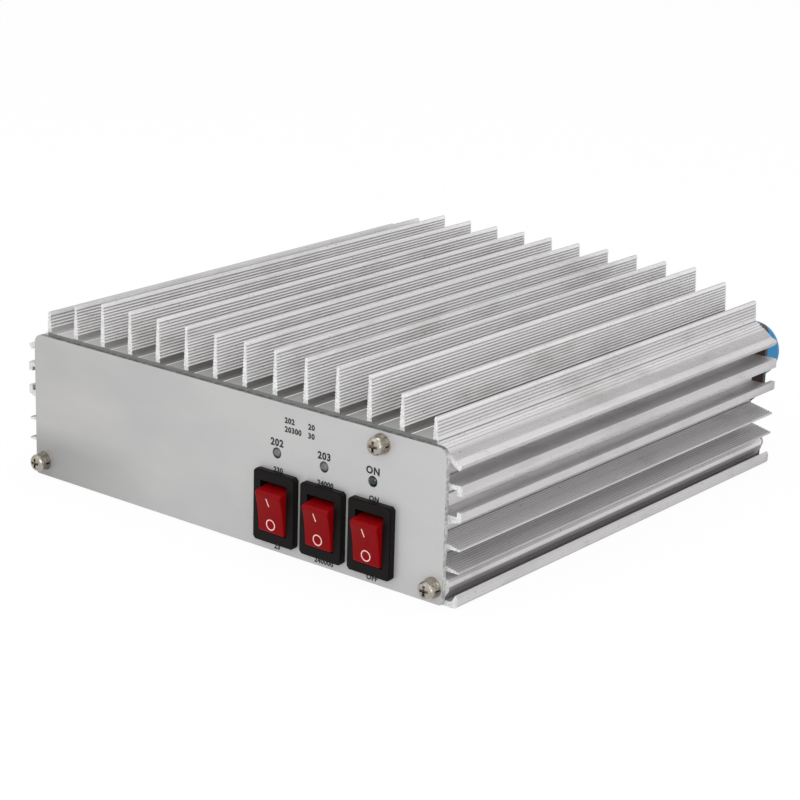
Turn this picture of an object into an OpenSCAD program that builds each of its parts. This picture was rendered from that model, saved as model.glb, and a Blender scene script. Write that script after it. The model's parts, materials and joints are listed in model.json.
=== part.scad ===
// Radio linear amplifier: a finned heat sink and a tray, both extruded aluminium,
// closed by a front and a rear plate. The front plate faces -Y and the fins point up.
// The origin is at the bottom centre of the whole object.

/* [Extrusions] */
// Length of the heat sink and the tray, front to back
ext_len = 163.3; // [155:0.1:200]
// Width over the outer faces of the side walls
body_w = 147.8; // [146.8:0.1:150]
// Thickness of the side walls
wall_t = 2.6; // [2.3:0.1:3]
// Height of the seam between the tray and the heat sink
seam_z = 19.2; // [19:0.1:20]
// Height of the heat sink's inner face
base_z = 37.4; // [37:0.1:39]
// Thickness of the heat sink's base
base_t = 7.9; // [7.2:0.1:8.8]
// Thickness of the tray's floor
floor_t = 2.4; // [1.8:0.1:3]
// Height of the tongue that locates the two extrusions
tongue_h = 1.4; // [1:0.1:1.8]

/* [Fins] */
// Number of fins
fin_count = 14; // [10:2:14]
// Height of the ten middle fins
fin_h = 13.1; // [10.5:0.1:17]
// Height of the fin next to each outer one
second_fin_h = 10.3; // [7.5:0.1:13]
// Height of the outer fins
outer_fin_h = 6.4; // [4.5:0.1:9]
// Thickness of a fin at its root
fin_root_t = 1.9; // [1.6:0.1:2.8]
// Thickness of a fin at its tip
fin_tip_t = 0.8; // [0.7:0.1:1.4]
// Distance from one fine rib to the next
rib_pitch = 0.82; // [0.76:0.02:1.6]
// Height of a fine rib
rib_d = 0.32; // [0.1:0.02:0.34]
// Height without ribs at the foot of each fin
plain_foot_h = 1.2; // [0.4:0.1:2]
// Height without ribs at the tip of each fin
plain_tip_h = 0.5; // [0.4:0.1:2]

/* [Side channels] */
// How far the sloping shoulder stands out of the wall
shoulder_out = 8.1; // [6:0.1:8.6]
// How far the shoulder falls from its root to its nose
shoulder_drop = 5; // [4:0.1:5.6]
// Thickness of the shoulder
shoulder_t = 1.9; // [1.4:0.1:2.1]
// Height of the bracket slot's centre line
slot_z = 29.5; // [29.2:0.1:30]
// Height inside the bracket slot
slot_h = 7.4; // [7.2:0.1:8]
// Height of the bracket slot's mouth
slot_mouth = 4.6; // [4.4:0.1:5.4]
// How far the slot's webs stand out of the wall
slot_out = 8.4; // [7.8:0.1:8.8]
// Thickness of the slot's webs
slot_web_t = 1.4; // [1.1:0.1:1.6]
// Thickness of the slot's lips
slot_lip_t = 1.5; // [1.1:0.1:1.8]

/* [Tray sides] */
// How far the two pointed side fins stand out of the wall
side_fin_out = 8.3; // [6:0.1:8.7]
// Thickness of a side fin at its root
side_fin_root_t = 2.4; // [1.8:0.1:2.6]
// Thickness of a side fin at its tip
side_fin_tip_t = 0.5; // [0.4:0.1:0.8]
// How far a side fin falls from its root to its tip
side_fin_drop = 0.9; // [0:0.1:1.4]
// Height of the upper side fin's root
upper_side_fin_z = 17.5; // [17:0.1:17.7]
// Height of the lower side fin's root
lower_side_fin_z = 11.1; // [11:0.1:12.5]
// How far the bottom flange stands out of the wall
flange_out = 8.1; // [7.6:0.1:8.6]
// Thickness of the bottom flange
flange_t = 1.6; // [1.3:0.1:1.8]
// Height of the lip along the bottom flange
flange_lip_h = 3.8; // [3:0.1:4.4]
// How far the screw channel's bulge stands out of the wall
bulge_out = 5.3; // [4.8:0.1:5.5]
// Height of the bulge
bulge_h = 7.4; // [7:0.1:8]
// Height of the screw channel's axis
channel_z = 4.8; // [4.6:0.1:5.4]
// Distance from the wall's outer face out to the screw channel's axis
channel_out = 0.9; // [0.4:0.1:0.9]

/* [End plates] */
// How far the end plates stand out past the side walls
plate_over = 4.1; // [3.8:0.1:5]
// Thickness of the end plates
plate_t = 1.5; // [1.2:0.1:3]
// Radius of the end plates' upper corners
plate_corner_r = 2.8; // [1:0.1:3.4]
// Distance from the front plate's right edge to its upper screw
front_screw_in = 21.8; // [19:0.2:28]
// Distance from the rear plate's side edges to its upper screws
rear_screw_in = 28; // [27.5:0.5:38]
// Length of a plate screw's shank
plate_screw_len = 12; // [8:0.5:16]

/* [Rocker switches] */
// Distance from the front plate's right edge to the last switch
switch_in = 23.9; // [21:0.1:29]
// Distance from one switch to the next
switch_pitch = 17.15; // [15.6:0.05:18]
// Height of the switches' centre line
switch_z = 13.65; // [13.2:0.05:14.2]
// Width of a switch bezel
bezel_w = 15; // [14.4:0.1:15.4]
// Height of a switch bezel
bezel_h = 21; // [20.4:0.1:21.6]
// Thickness of a switch bezel
bezel_t = 2; // [1.6:0.1:2.2]
// Width of the housing behind the bezel
housing_w = 12.7; // [12.4:0.1:13]
// Height of the housing behind the bezel
housing_h = 19; // [18.8:0.1:19.4]
// Depth of the housing behind the front plate's face
housing_depth = 14; // [12:0.5:17]
// Width of a rocker
rocker_w = 9.2; // [8.8:0.1:9.8]
// Height of a rocker's face from shoulder to shoulder
rocker_h = 12.4; // [11.6:0.1:12.8]
// Distance from a rocker's pivot out to its shoulders
rocker_reach = 7; // [6.6:0.1:7.2]
// Depth of the dish in a rocker's face
dish_d = 0.45; // [0.2:0.05:0.8]
// Depth of a rocker's pivot behind the front plate's face
pivot_depth = 3; // [2.8:0.1:3.4]
// Angle that a rocker swings through, in degrees
rocker_swing = 18; // [10:1:18]
// Radius of a rocker's pivot pin
pivot_r = 1; // [0.8:0.05:1.2]

/* [Lamps] */
// Diameter of an indicator lamp
lamp_d = 3; // [2.6:0.1:3.2]
// Height of the lamps' centre line
lamp_z = 29.5; // [28.4:0.1:30.6]
// How far a lamp sits to the left of its switch's centre line
lamp_shift = 0.6; // [0:0.1:1]
// How far a lamp stands out of the front plate
lamp_out = 0.4; // [0.2:0.1:1.4]

/* [Coaxial sockets] */
// Distance from the side walls' outer faces in to the sockets
socket_in = 10.4; // [10.3:0.1:14]
// Height of the sockets' axis
socket_z = 30.4; // [29.8:0.1:30.5]
// Radius of a socket's threaded barrel
barrel_r = 7.9; // [7.5:0.05:8]
// Length of a socket's barrel behind its flange
barrel_len = 15.5; // [13:0.5:16]
// Radius of a socket's round flange
socket_flange_r = 9.6; // [9:0.1:9.8]
// Thickness of a socket's flange
socket_flange_t = 2; // [1.5:0.1:2.5]
// Radius of the stem that passes through the rear plate
stem_r = 5.2; // [4.8:0.1:5.4]
// Outer radius of a dust cap
cap_r = 9.3; // [9.1:0.1:9.6]
// Thickness of a dust cap's closed end
cap_end_t = 2; // [1.5:0.1:3]

/* [Lead outlet] */
// Height of the power lead's grommet
grommet_z = 12.6; // [11.6:0.1:14]
// Radius of the hole through the grommet
grommet_bore_r = 3.6; // [3:0.1:4]
// Outer radius of the grommet's rims
grommet_r = 7.4; // [7:0.1:8]

/* [Circuit board] */
// Distance from the side walls' outer faces in to the circuit board
board_side = 7.9; // [5:0.1:9]
// Distance from the heat sink's front end to the board's front edge
board_front = 36.5; // [36:0.5:42]
// Thickness of the circuit board
board_t = 1.6; // [1.2:0.1:2]
// Distance from the heat sink's rear end to the board's rear edge
board_back = 6; // [4.5:0.5:8]
// Diameter of the small machine screws
screw_d = 3; // [2.6:0.1:3.2]

/* [Hidden] */

// Overrun of a cut beyond the face that it opens
cut_over = 1;
// Clearance between flat parts that slide into each other
slip_gap = 0.1;
// Radial clearance of a screw in its hole
screw_gap = 0.05;
// Clearance round a screw in a plate
plate_hole_gap = 0.2;
// Facets of a screw hole, a wire, a lamp or screw, and a socket
hole_facets = 24;
wire_facets = 16;
round_facets = 32;
socket_facets = 48;

// Colours
aluminium_colour = [0.74, 0.74, 0.75];
plate_colour = [0.80, 0.80, 0.81];
nickel_colour = [0.70, 0.67, 0.60];
black_colour = [0.07, 0.07, 0.07];
red_colour = [0.66, 0.07, 0.08];
blue_colour = [0.18, 0.45, 0.72];
board_colour = [0.10, 0.38, 0.22];
copper_colour = [0.72, 0.42, 0.24];
white_colour = [0.92, 0.92, 0.90];

// Half the width over the side walls
half_w = body_w / 2;
plate_w = body_w + 2 * plate_over;
front_screw_x = plate_w / 2 - front_screw_in;
rear_screw_x = plate_w / 2 - rear_screw_in;
switch_x = plate_w / 2 - switch_in - 2 * switch_pitch;
socket_x = half_w - socket_in;
board_w = body_w - 2 * board_side;
board_len = ext_len - board_front - board_back;
// Height of the valleys between the fins
valley_z = base_z + base_t;
// Pitch of the fins, with the outer ones flush with the walls
fin_pitch = (body_w - fin_root_t) / (fin_count - 1);
// Share of the wall's thickness that the tray's tongue takes
tongue_share = 0.46;
tongue_t = wall_t * tongue_share;

// How far the end plates end below the valleys and stay off the ground
plate_fall = 0.9;
plate_lift = 0.3;
plate_foot_r = 0.8;
plate_top = valley_z - plate_fall;

// Screws, seen from the head
shank_r = screw_d / 2;
head_r = 2.6;
head_h = 2.3;
// Shares of the head's radius and height along its rounded rim
head_shares = [[1, 0.45], [0.95, 0.68], [0.84, 0.84], [0.66, 0.94], [0.4, 1], [0, 1]];
cross_w = 0.8;
cross_len = 3;
cross_d = 1.3;
flat_washer_r = 3;
flat_washer_t = 0.6;
spring_washer_r = 2.75;
spring_washer_t = 1;
washer_gap = 0.1;
split_w = 0.5;
plate_screw_down = 3.6;
plate_screw_z = plate_top - plate_screw_down;
channel_x = half_w + channel_out;
stack_t = flat_washer_t + spring_washer_t;

// Side notches of the rear plate, beside the tray's side fins
notch_gap = 0.5;
notch_low_z = channel_z + flat_washer_r + slip_gap;
notch_high_z = slot_z - slot_h / 2 - slot_web_t * 2;

// Rocker in its middle position: distances forward of and above the pivot
rocker_half_swing = rocker_swing / 2;
rocker_end_in = 1.2;
rocker_end_up = 0.2;
rocker_back = 1.6;
rocker_back_h = 5.6;
rocker_side_gap = 0.3;
rocker_end_gap = 0.3;
dish_steps = 8;
function rocker_dish(k) =
  let (t = 2 * k / dish_steps - 1)
  [rocker_reach - dish_d * (1 - t * t), t * rocker_h / 2];
rocker_profile = concat(
  [for (k = [0:dish_steps]) rocker_dish(k)],
  [[rocker_reach - rocker_end_in, rocker_h / 2 + rocker_end_up],
   [0, rocker_h / 2 + rocker_end_up],
   [-rocker_back, rocker_back_h],
   [-rocker_back, -rocker_back_h],
   [0, -rocker_h / 2 - rocker_end_up],
   [rocker_reach - rocker_end_in, -rocker_h / 2 - rocker_end_up]]);
// The opening clears the largest sweep of the rocker's ends behind the bezel's face
rocker_end_sweep = norm([rocker_h / 2 + rocker_end_up, rocker_reach - rocker_end_in])
  * sin(atan2(rocker_h / 2 + rocker_end_up, rocker_reach - rocker_end_in) + rocker_half_swing);
opening_w = rocker_w + 2 * rocker_side_gap;
opening_h = 2 * (rocker_end_sweep + rocker_end_gap);
opening_back_gap = 2.1;
opening_depth = pivot_depth + rocker_back + opening_back_gap;
pivot_gap = 0.05;
pivot_pin_len = 0.9;
bezel_chamfer = 0.8;
bezel_bevel = 0.2;
housing_gap = 0.1;
terminal_w = 4.75;
terminal_t = 0.8;
terminal_len = 7;
terminal_pitch = 5;
wire_r = 0.8;
wire_bend_r = 4;
wire_step = 3;
wire_in = 3;
// How far a rocker at rest stands out of the front plate
rocker_out = rocker_reach * cos(rocker_half_swing)
  + rocker_h / 2 * sin(rocker_half_swing) - pivot_depth;

// Lamps and their board
lamp_gap = 0.1;
lamp_len = 5.3;
lamp_rim_r = 1.9;
lamp_rim_t = 1;
lamp_lead_r = 0.25;
lamp_lead_pitch = 2.54;
lamp_lead_len = 3;
lamp_board_t = 1.2;
lamp_board_h = 7.6;
lamp_board_margin = 6.5;
lamp_wire_r = 0.6;
lamp_wire_bend_r = 2;

// Sockets and caps
barrel_bore_r = 6.2;
contact_r = 2.6;
contact_bore_r = 2;
contact_slit_w = 0.5;
insulator_len = 6;
stem_len = 6;
socket_nut_af = 12.8;
socket_nut_t = 2.4;
tail_r = 1.8;
tail_len = 12;
cap_gap = 0.3;
cap_round_r = 3.6;
cap_round_steps = 6;
cap_len = barrel_len - cap_gap + cap_end_t + cap_gap;

insulator_stem_r = 3.6;
contact_short = 1.5;

// Grommet of the power lead
grommet_rim_t = 2;
grommet_bevel = 0.5;
grommet_groove_r = 5.6;

// Board, its carriers and what stands on it
solder_gap = 0.1;
board_under = socket_z + tail_r + solder_gap;
board_top = board_under + board_t;
spacer_r = 3;
spacer_bore_gap = 0.1;
board_screw_in = 5;
board_edge = 6;
board_end_edge = 9;
transistor_len = 24.6;
transistor_w = 6.4;
transistor_flange_t = 2.3;
transistor_body = 10;
transistor_cap_t = 1.6;
transistor_lead_w = 5.6;
transistor_lead_t = 0.2;
transistor_lead_len = 26;
transistor_screw_in = 3.1;
transistor_screw_pitch = transistor_len - 2 * transistor_screw_in;
transistor_window_gap = 0.8;
transistor_share = [0.212, 0.25];
regulator_w = 10.2;
regulator_body_len = 9;
regulator_tab_len = 6.2;
regulator_tab_t = 1.3;
regulator_t = 4.5;
regulator_leg_w = 0.8;
regulator_leg_len = 6;
regulator_leg_pitch = 2.54;
regulator_leg_drop = 2.7;
regulator_share = -0.26;
relay_w = 15.5;
relay_len = 19.5;
relay_h = 15.4;
relay_foot = 0.6;
relay_round = 1;
mica_w = 5;
mica_t = 2;
mica_gap = 0.9;
ring_r = 6.5;
ring_bore_r = 3.6;
ring_t = 5;

// Places along Y: the overall length sets the middle
cap_out = socket_flange_t + cap_len + cap_gap;
overall_len = rocker_out + plate_t + ext_len + plate_t + cap_out;
face_y = rocker_out - overall_len / 2;
ext_y = face_y + plate_t;
rear_y = ext_y + ext_len;
back_y = rear_y + plate_t;
board_rear_y = rear_y - board_back;
board_front_y = ext_y + board_front;
lamp_board_y = face_y - lamp_out + lamp_len + lamp_lead_len;

// Points of an arc, from the first angle to the last
function arc(cx, cz, r, from, to, steps) =
  [for (k = [0:steps]) let (a = from + (to - from) * k / steps) [cx + r * cos(a), cz + r * sin(a)]];
// The same outline on the other side of the middle
function mirrored(points) =
  [for (k = [len(points) - 1:-1:0]) [-points[k][0], points[k][1]]];
// Fine ribs along a line from a to b: a valley and a ridge for each rib, with plain ends
function ribbed(a, b, side, plain_a = 0, plain_b = 0, pitch = rib_pitch, depth = rib_d) =
  let (
    along = (b - a) / norm(b - a),
    length = norm(b - a) - plain_a - plain_b,
    count = floor(length / pitch),
    out = [along[1], -along[0]] * side)
  [for (k = [0:count - 1], high = [0, 1])
    a + along * (plain_a + (k + high / 2) * length / count) + out * (high * depth - depth / 2)];

// Heat sink: outline of one fin, from its left root over the tip to its right root
function fin_height(i) =
  i == fin_count / 2 - 1 ? outer_fin_h : i == fin_count / 2 - 2 ? second_fin_h : fin_h;
function fin_outline(i) =
  let (
    x = (i + 0.5) * fin_pitch,
    top = valley_z + fin_height(i),
    foot = [[x - fin_root_t / 2, valley_z], [x + fin_root_t / 2, valley_z]],
    tip = [[x - fin_tip_t / 2, top], [x + fin_tip_t / 2, top]],
    up = ribbed(foot[0], tip[0], -1, plain_foot_h, plain_tip_h),
    down = ribbed(foot[1], tip[1], 1, plain_foot_h, plain_tip_h))
  concat([foot[0]], up, tip, [for (k = [len(down) - 1:-1:0]) down[k]], [foot[1]]);

// Outline of the shoulder, the bracket slot and the wall, going down the right side
shoulder_fall = shoulder_drop / shoulder_out;
shoulder_lift = shoulder_t * sqrt(1 + shoulder_fall * shoulder_fall);
// Shares of the shoulder's reach and fall where its ribs end and where it flattens out
shoulder_ribs_share = 0.42;
// The finest ribs lie between them
fine_rib_pitch = 0.44;
fine_rib_d = 0.16;
shoulder_bend_share = [0.74, 0.84];
nose_in = 0.9;
nose_tip_in = 0.3;
nose_down = 1;
slot_low = slot_z - slot_h / 2;
slot_high = slot_z + slot_h / 2;
mouth_low = slot_z - slot_mouth / 2;
mouth_high = slot_z + slot_mouth / 2;
slot_root_t = 3.6;
guide_d = 0.4;
function heatsink_side() =
  let (
    root = [half_w, valley_z],
    nose = [half_w + shoulder_out, valley_z - shoulder_drop],
    knee = root + (nose - root) * shoulder_ribs_share,
    bend = root + [shoulder_out * shoulder_bend_share[0], -shoulder_drop * shoulder_bend_share[1]])
  concat(
    ribbed(root, knee, -1),
    ribbed(knee, bend, -1, pitch = fine_rib_pitch, depth = fine_rib_d),
    [bend, nose, nose + [-nose_tip_in, -nose_down],
     nose + [-nose_in, -shoulder_lift + nose_in * shoulder_fall],
     [half_w, valley_z - shoulder_lift],
     [half_w, slot_high + slot_web_t],
     [half_w + slot_out - guide_d, slot_high + slot_web_t],
     [half_w + slot_out, slot_high + slot_web_t - guide_d],
     [half_w + slot_out, mouth_high],
     [half_w + slot_out - slot_lip_t, mouth_high],
     [half_w + slot_out - slot_lip_t, slot_high],
     [half_w, slot_high],
     [half_w, slot_z + guide_d], [half_w - guide_d, slot_z], [half_w, slot_z - guide_d],
     [half_w, slot_low],
     [half_w + slot_out - slot_lip_t, slot_low],
     [half_w + slot_out - slot_lip_t, mouth_low],
     [half_w + slot_out, mouth_low],
     [half_w + slot_out, slot_low - slot_web_t + guide_d],
     [half_w + slot_out - guide_d, slot_low - slot_web_t],
     [half_w, slot_low - slot_root_t],
     [half_w, seam_z],
     [half_w - wall_t + tongue_t + slip_gap, seam_z],
     [half_w - wall_t + tongue_t + slip_gap, seam_z + tongue_h + slip_gap],
     [half_w - wall_t, seam_z + tongue_h + slip_gap],
     [half_w - wall_t, base_z]]);
function heatsink_half() =
  concat([for (i = [0:fin_count / 2 - 1]) each fin_outline(i)], heatsink_side());

// Tray: outline of one side, going up from the bottom flange to the tongue
flange_corner_r = 1.2;
flange_lip_t = 0.6;
bulge_waist = 1.6;
bulge_from = -60;
boss_in = 3.4;
boss_top = 9.4;
corner_steps = 5;
function side_fin(z) =
  let (
    low_root = [half_w, z - side_fin_root_t / 2],
    high_root = [half_w, z + side_fin_root_t / 2],
    low_tip = [half_w + side_fin_out, z - side_fin_drop - side_fin_tip_t / 2],
    high_tip = low_tip + [0, side_fin_tip_t],
    top = ribbed(high_root, high_tip, -1))
  concat([low_root, low_tip, high_tip], [for (k = [len(top) - 1:-1:0]) top[k]]);
function tray_half() =
  concat(
    [[half_w - boss_in - floor_t, 0]],
    arc(half_w + flange_out - flange_corner_r, flange_corner_r, flange_corner_r, -90, 0, corner_steps),
    [[half_w + flange_out, flange_lip_h - flange_lip_t],
     [half_w + flange_out - flange_lip_t, flange_lip_h],
     [half_w + flange_out - flange_t, flange_t + flange_lip_t],
     [half_w + flange_out - flange_t - flange_lip_t, flange_t],
     [half_w + bulge_out - bulge_waist, flange_t]],
    arc(half_w + bulge_out - bulge_waist, flange_t + 2 * bulge_waist, bulge_waist,
        bulge_from, 0, corner_steps),
    [[half_w + bulge_out, bulge_h - flange_lip_t],
     [half_w + bulge_out - flange_lip_t, bulge_h],
     [half_w, bulge_h + bulge_waist]],
    side_fin(lower_side_fin_z),
    side_fin(upper_side_fin_z),
    [[half_w, seam_z],
     [half_w - wall_t + tongue_t, seam_z],
     [half_w - wall_t + tongue_t, seam_z + tongue_h],
     [half_w - wall_t, seam_z + tongue_h],
     [half_w - wall_t, boss_top],
     [half_w - boss_in, boss_top - boss_in + wall_t],
     [half_w - boss_in, floor_t + flange_lip_t],
     [half_w - boss_in - flange_lip_t, floor_t]]);

// An outline in X and Z, extruded towards +Y from y
module along_y(y, length) {
  translate([0, y + length, 0])
    rotate([90, 0, 0])
      linear_extrude(length)
        children();
}

// A round bar or hole along Y, starting at y
module rod_y(x, y, z, r, length, fine = round_facets) {
  translate([x, y, z])
    rotate([-90, 0, 0])
      cylinder(h = length, r = r, $fn = fine);
}

// A round bar or hole along Z, starting at z
module rod_z(x, y, z, r, length, fine = round_facets) {
  translate([x, y, z])
    cylinder(h = length, r = r, $fn = fine);
}

// Places of the screws: [x, z] on the front and rear plates
front_screws = [[-channel_x, channel_z], [channel_x, channel_z], [front_screw_x, plate_screw_z]];
rear_screws = [[-channel_x, channel_z], [channel_x, channel_z],
               [-rear_screw_x, plate_screw_z], [rear_screw_x, plate_screw_z]];
board_holes = [for (x = [-1, 1], k = [0:2])
  [x * (board_w / 2 - board_edge), board_front_y + board_end_edge + k * (board_len / 2 - board_end_edge)]];
transistor_x = board_w * transistor_share[0];
transistor_y = board_front_y + board_len * transistor_share[1];
transistor_places = [[-transistor_x, transistor_y], [transistor_x, transistor_y]];
regulator_x = board_w * regulator_share;
regulator_y = board_front_y - regulator_leg_len + regulator_leg_w;
regulator_hole_y = regulator_y - regulator_body_len - regulator_tab_len / 2;

module screw_hole_y(x, y, z) {
  rod_y(x, y, z, shank_r + screw_gap, plate_screw_len - plate_t - stack_t + 2 * cut_over, hole_facets);
}

module heatsink() {
  half = heatsink_half();
  color(aluminium_colour)
    difference() {
      along_y(ext_y, ext_len)
        polygon(concat(half, mirrored(half)));
      screw_hole_y(front_screw_x, ext_y - cut_over, plate_screw_z);
      for (x = [-rear_screw_x, rear_screw_x])
        translate([0, 2 * rear_y, 0])
          mirror([0, 1, 0])
            screw_hole_y(x, rear_y - cut_over, plate_screw_z);
      for (p = board_holes)
        rod_z(p[0], p[1], base_z - cut_over, shank_r + screw_gap, board_screw_in + 2 * cut_over,
              hole_facets);
      for (p = transistor_places, s = [-1, 1])
        rod_z(p[0] + s * transistor_screw_pitch / 2, p[1], base_z - cut_over,
              shank_r + screw_gap, board_screw_in + 2 * cut_over, hole_facets);
      rod_z(regulator_x, regulator_hole_y, base_z - cut_over, shank_r + screw_gap,
            board_screw_in + 2 * cut_over, hole_facets);
    }
}

module bottom_tray() {
  half = tray_half();
  color(aluminium_colour)
    difference() {
      along_y(ext_y, ext_len)
        polygon(concat(half, mirrored(half)));
      for (x = [-channel_x, channel_x])
        rod_y(x, ext_y - cut_over, channel_z, shank_r + screw_gap, ext_len + 2 * cut_over, hole_facets);
    }
}

// Outline of an end plate's upper corner and lower corner, right side
function plate_low() =
  arc(plate_w / 2 - plate_foot_r, plate_lift + plate_foot_r, plate_foot_r, -90, 0, corner_steps);
function plate_high() =
  arc(plate_w / 2 - plate_corner_r, plate_top - plate_corner_r, plate_corner_r, 0, 90, corner_steps);

module switch_cutout(x) {
  cut_w = housing_w + 2 * housing_gap;
  cut_h = housing_h + 2 * housing_gap;
  translate([x - cut_w / 2, face_y - cut_over, switch_z - cut_h / 2])
    cube([cut_w, plate_t + 2 * cut_over, cut_h]);
}

function lamp_x(k) = switch_x + k * switch_pitch - lamp_shift;

module front_panel() {
  half = concat(plate_low(), plate_high());
  color(plate_colour)
    difference() {
      along_y(face_y, plate_t)
        polygon(concat(half, mirrored(half)));
      for (k = [0:2])
        switch_cutout(switch_x + k * switch_pitch);
      for (k = [0:2])
        rod_y(lamp_x(k), face_y - cut_over, lamp_z, lamp_d / 2 + lamp_gap, plate_t + 2 * cut_over);
      for (p = front_screws)
        rod_y(p[0], face_y - cut_over, p[1], shank_r + plate_hole_gap, plate_t + 2 * cut_over);
    }
}

module rear_panel() {
  waist = half_w - notch_gap;
  half = concat(
    plate_low(),
    [[plate_w / 2, notch_low_z], [waist, notch_low_z],
     [waist, notch_high_z - plate_w / 2 + waist], [plate_w / 2, notch_high_z]],
    plate_high());
  color(black_colour)
    difference() {
      along_y(rear_y, plate_t)
        polygon(concat(half, mirrored(half)));
      for (s = [-1, 1])
        rod_y(s * socket_x, rear_y - cut_over, socket_z, stem_r + plate_hole_gap, plate_t + 2 * cut_over);
      for (p = rear_screws)
        rod_y(p[0], rear_y - cut_over, p[1], shank_r + plate_hole_gap, plate_t + 2 * cut_over);
      rod_y(0, rear_y - cut_over, grommet_z, grommet_groove_r, plate_t + 2 * cut_over);
    }
}

// A pan head screw along +Z, its head's seat at Z 0 and its shank below
module pan_head_screw(length) {
  difference() {
    rotate_extrude($fn = round_facets)
      polygon(concat(
        [[0, -length], [shank_r, -length], [shank_r, 0], [head_r, 0]],
        [for (p = head_shares) [head_r * p[0], head_h * p[1]]]));
    for (a = [0, 90])
      rotate([0, 0, a])
        translate([-cross_len / 2, -cross_w / 2, head_h - cross_d])
          cube([cross_len, cross_w, cross_d + cut_over]);
  }
}

module washer(r, t, split) {
  difference() {
    cylinder(h = t, r = r, $fn = round_facets);
    translate([0, 0, -cut_over])
      cylinder(h = t + 2 * cut_over, r = shank_r + washer_gap, $fn = round_facets);
    if (split)
      translate([0, -split_w / 2, -cut_over])
        cube([r + cut_over, split_w, t + 2 * cut_over]);
  }
}

// Children point out of the front plate or, for the rear, out of the rear plate
module on_front(places, out) {
  for (p = places)
    translate([p[0], face_y - out, p[1]])
      rotate([90, 0, 0])
        children();
}

module on_rear(places, out) {
  for (p = places)
    translate([p[0], back_y + out, p[1]])
      rotate([-90, 0, 0])
        children();
}

module front_panel_screws() {
  color(nickel_colour) on_front(front_screws, stack_t) pan_head_screw(plate_screw_len);
}

module front_spring_washers() {
  color(nickel_colour) on_front(front_screws, flat_washer_t) washer(spring_washer_r, spring_washer_t, true);
}

module front_flat_washers() {
  color(nickel_colour) on_front(front_screws, 0) washer(flat_washer_r, flat_washer_t, false);
}

module rear_panel_screws() {
  color(nickel_colour) on_rear(rear_screws, stack_t) pan_head_screw(plate_screw_len);
}

module rear_spring_washers() {
  color(nickel_colour) on_rear(rear_screws, flat_washer_t) washer(spring_washer_r, spring_washer_t, true);
}

module rear_flat_washers() {
  color(nickel_colour) on_rear(rear_screws, 0) washer(flat_washer_r, flat_washer_t, false);
}

// Rectangle with cut corners, in X and Z
module cut_corner_plate(w, h, c) {
  polygon([[-w / 2 + c, -h / 2], [w / 2 - c, -h / 2], [w / 2, -h / 2 + c], [w / 2, h / 2 - c],
           [w / 2 - c, h / 2], [-w / 2 + c, h / 2], [-w / 2, h / 2 - c], [-w / 2, -h / 2 + c]]);
}

module switch_housing(k) {
  x = switch_x + k * switch_pitch;
  pivot_y = face_y + pivot_depth;
  color(black_colour)
    difference() {
      union() {
        translate([x, 0, switch_z]) {
          along_y(face_y - bezel_t, bezel_bevel)
            cut_corner_plate(bezel_w - 2 * bezel_bevel, bezel_h - 2 * bezel_bevel, bezel_chamfer);
          along_y(face_y - bezel_t + bezel_bevel, bezel_t - bezel_bevel)
            cut_corner_plate(bezel_w, bezel_h, bezel_chamfer);
        }
        translate([x - housing_w / 2, face_y, switch_z - housing_h / 2])
          cube([housing_w, housing_depth, housing_h]);
      }
      translate([x - opening_w / 2, face_y - bezel_t - cut_over, switch_z - opening_h / 2])
        cube([opening_w, bezel_t + cut_over + opening_depth, opening_h]);
      translate([x - opening_w / 2 - pivot_pin_len, pivot_y, switch_z])
        rotate([0, 90, 0])
          cylinder(h = opening_w + 2 * pivot_pin_len, r = pivot_r + pivot_gap, $fn = round_facets);
    }
}

// A rocker at rest, with its lower end pressed in
module rocker(k) {
  x = switch_x + k * switch_pitch;
  pin_len = opening_w + 2 * pivot_pin_len - 2 * slip_gap;
  color(red_colour)
    translate([x, face_y + pivot_depth, switch_z])
      rotate([rocker_half_swing, 0, 0]) {
        translate([-rocker_w / 2, 0, 0])
          rotate([90, 0, 90])
            linear_extrude(rocker_w)
              polygon([for (p = rocker_profile) [-p[0], p[1]]]);
        translate([-pin_len / 2, 0, 0])
          rotate([0, 90, 0])
            cylinder(h = pin_len, r = pivot_r, $fn = round_facets);
      }
}

module terminals(k, count) {
  x = switch_x + k * switch_pitch;
  color(copper_colour)
    for (i = [0:count - 1])
      translate([x - terminal_w / 2, face_y + housing_depth,
                 switch_z + (i - (count - 1) / 2) * terminal_pitch - terminal_t / 2])
        cube([terminal_w, terminal_len, terminal_t]);
}

// A wire that runs back from y, turns up and ends under the board
module wire_up(x, y, z, r, bend_r, up_y) {
  rod_y(x, y, z, r, up_y - bend_r - y, wire_facets);
  translate([x, up_y - bend_r, z + bend_r])
    rotate([0, 90, 0])
      rotate_extrude(angle = 90, $fn = round_facets)
        translate([bend_r, 0])
          circle(r = r, $fn = wire_facets);
  rod_z(x, up_y, z + bend_r, r, board_under - z - bend_r, wire_facets);
}

module switch_wires(k, count) {
  x = switch_x + k * switch_pitch;
  color(k == 2 ? red_colour : white_colour)
    for (i = [0:count - 1])
      wire_up(x, face_y + housing_depth + terminal_len,
              switch_z + (i - (count - 1) / 2) * terminal_pitch,
              wire_r, wire_bend_r, board_front_y + wire_in + (count - 1 - i) * wire_step);
}

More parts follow.
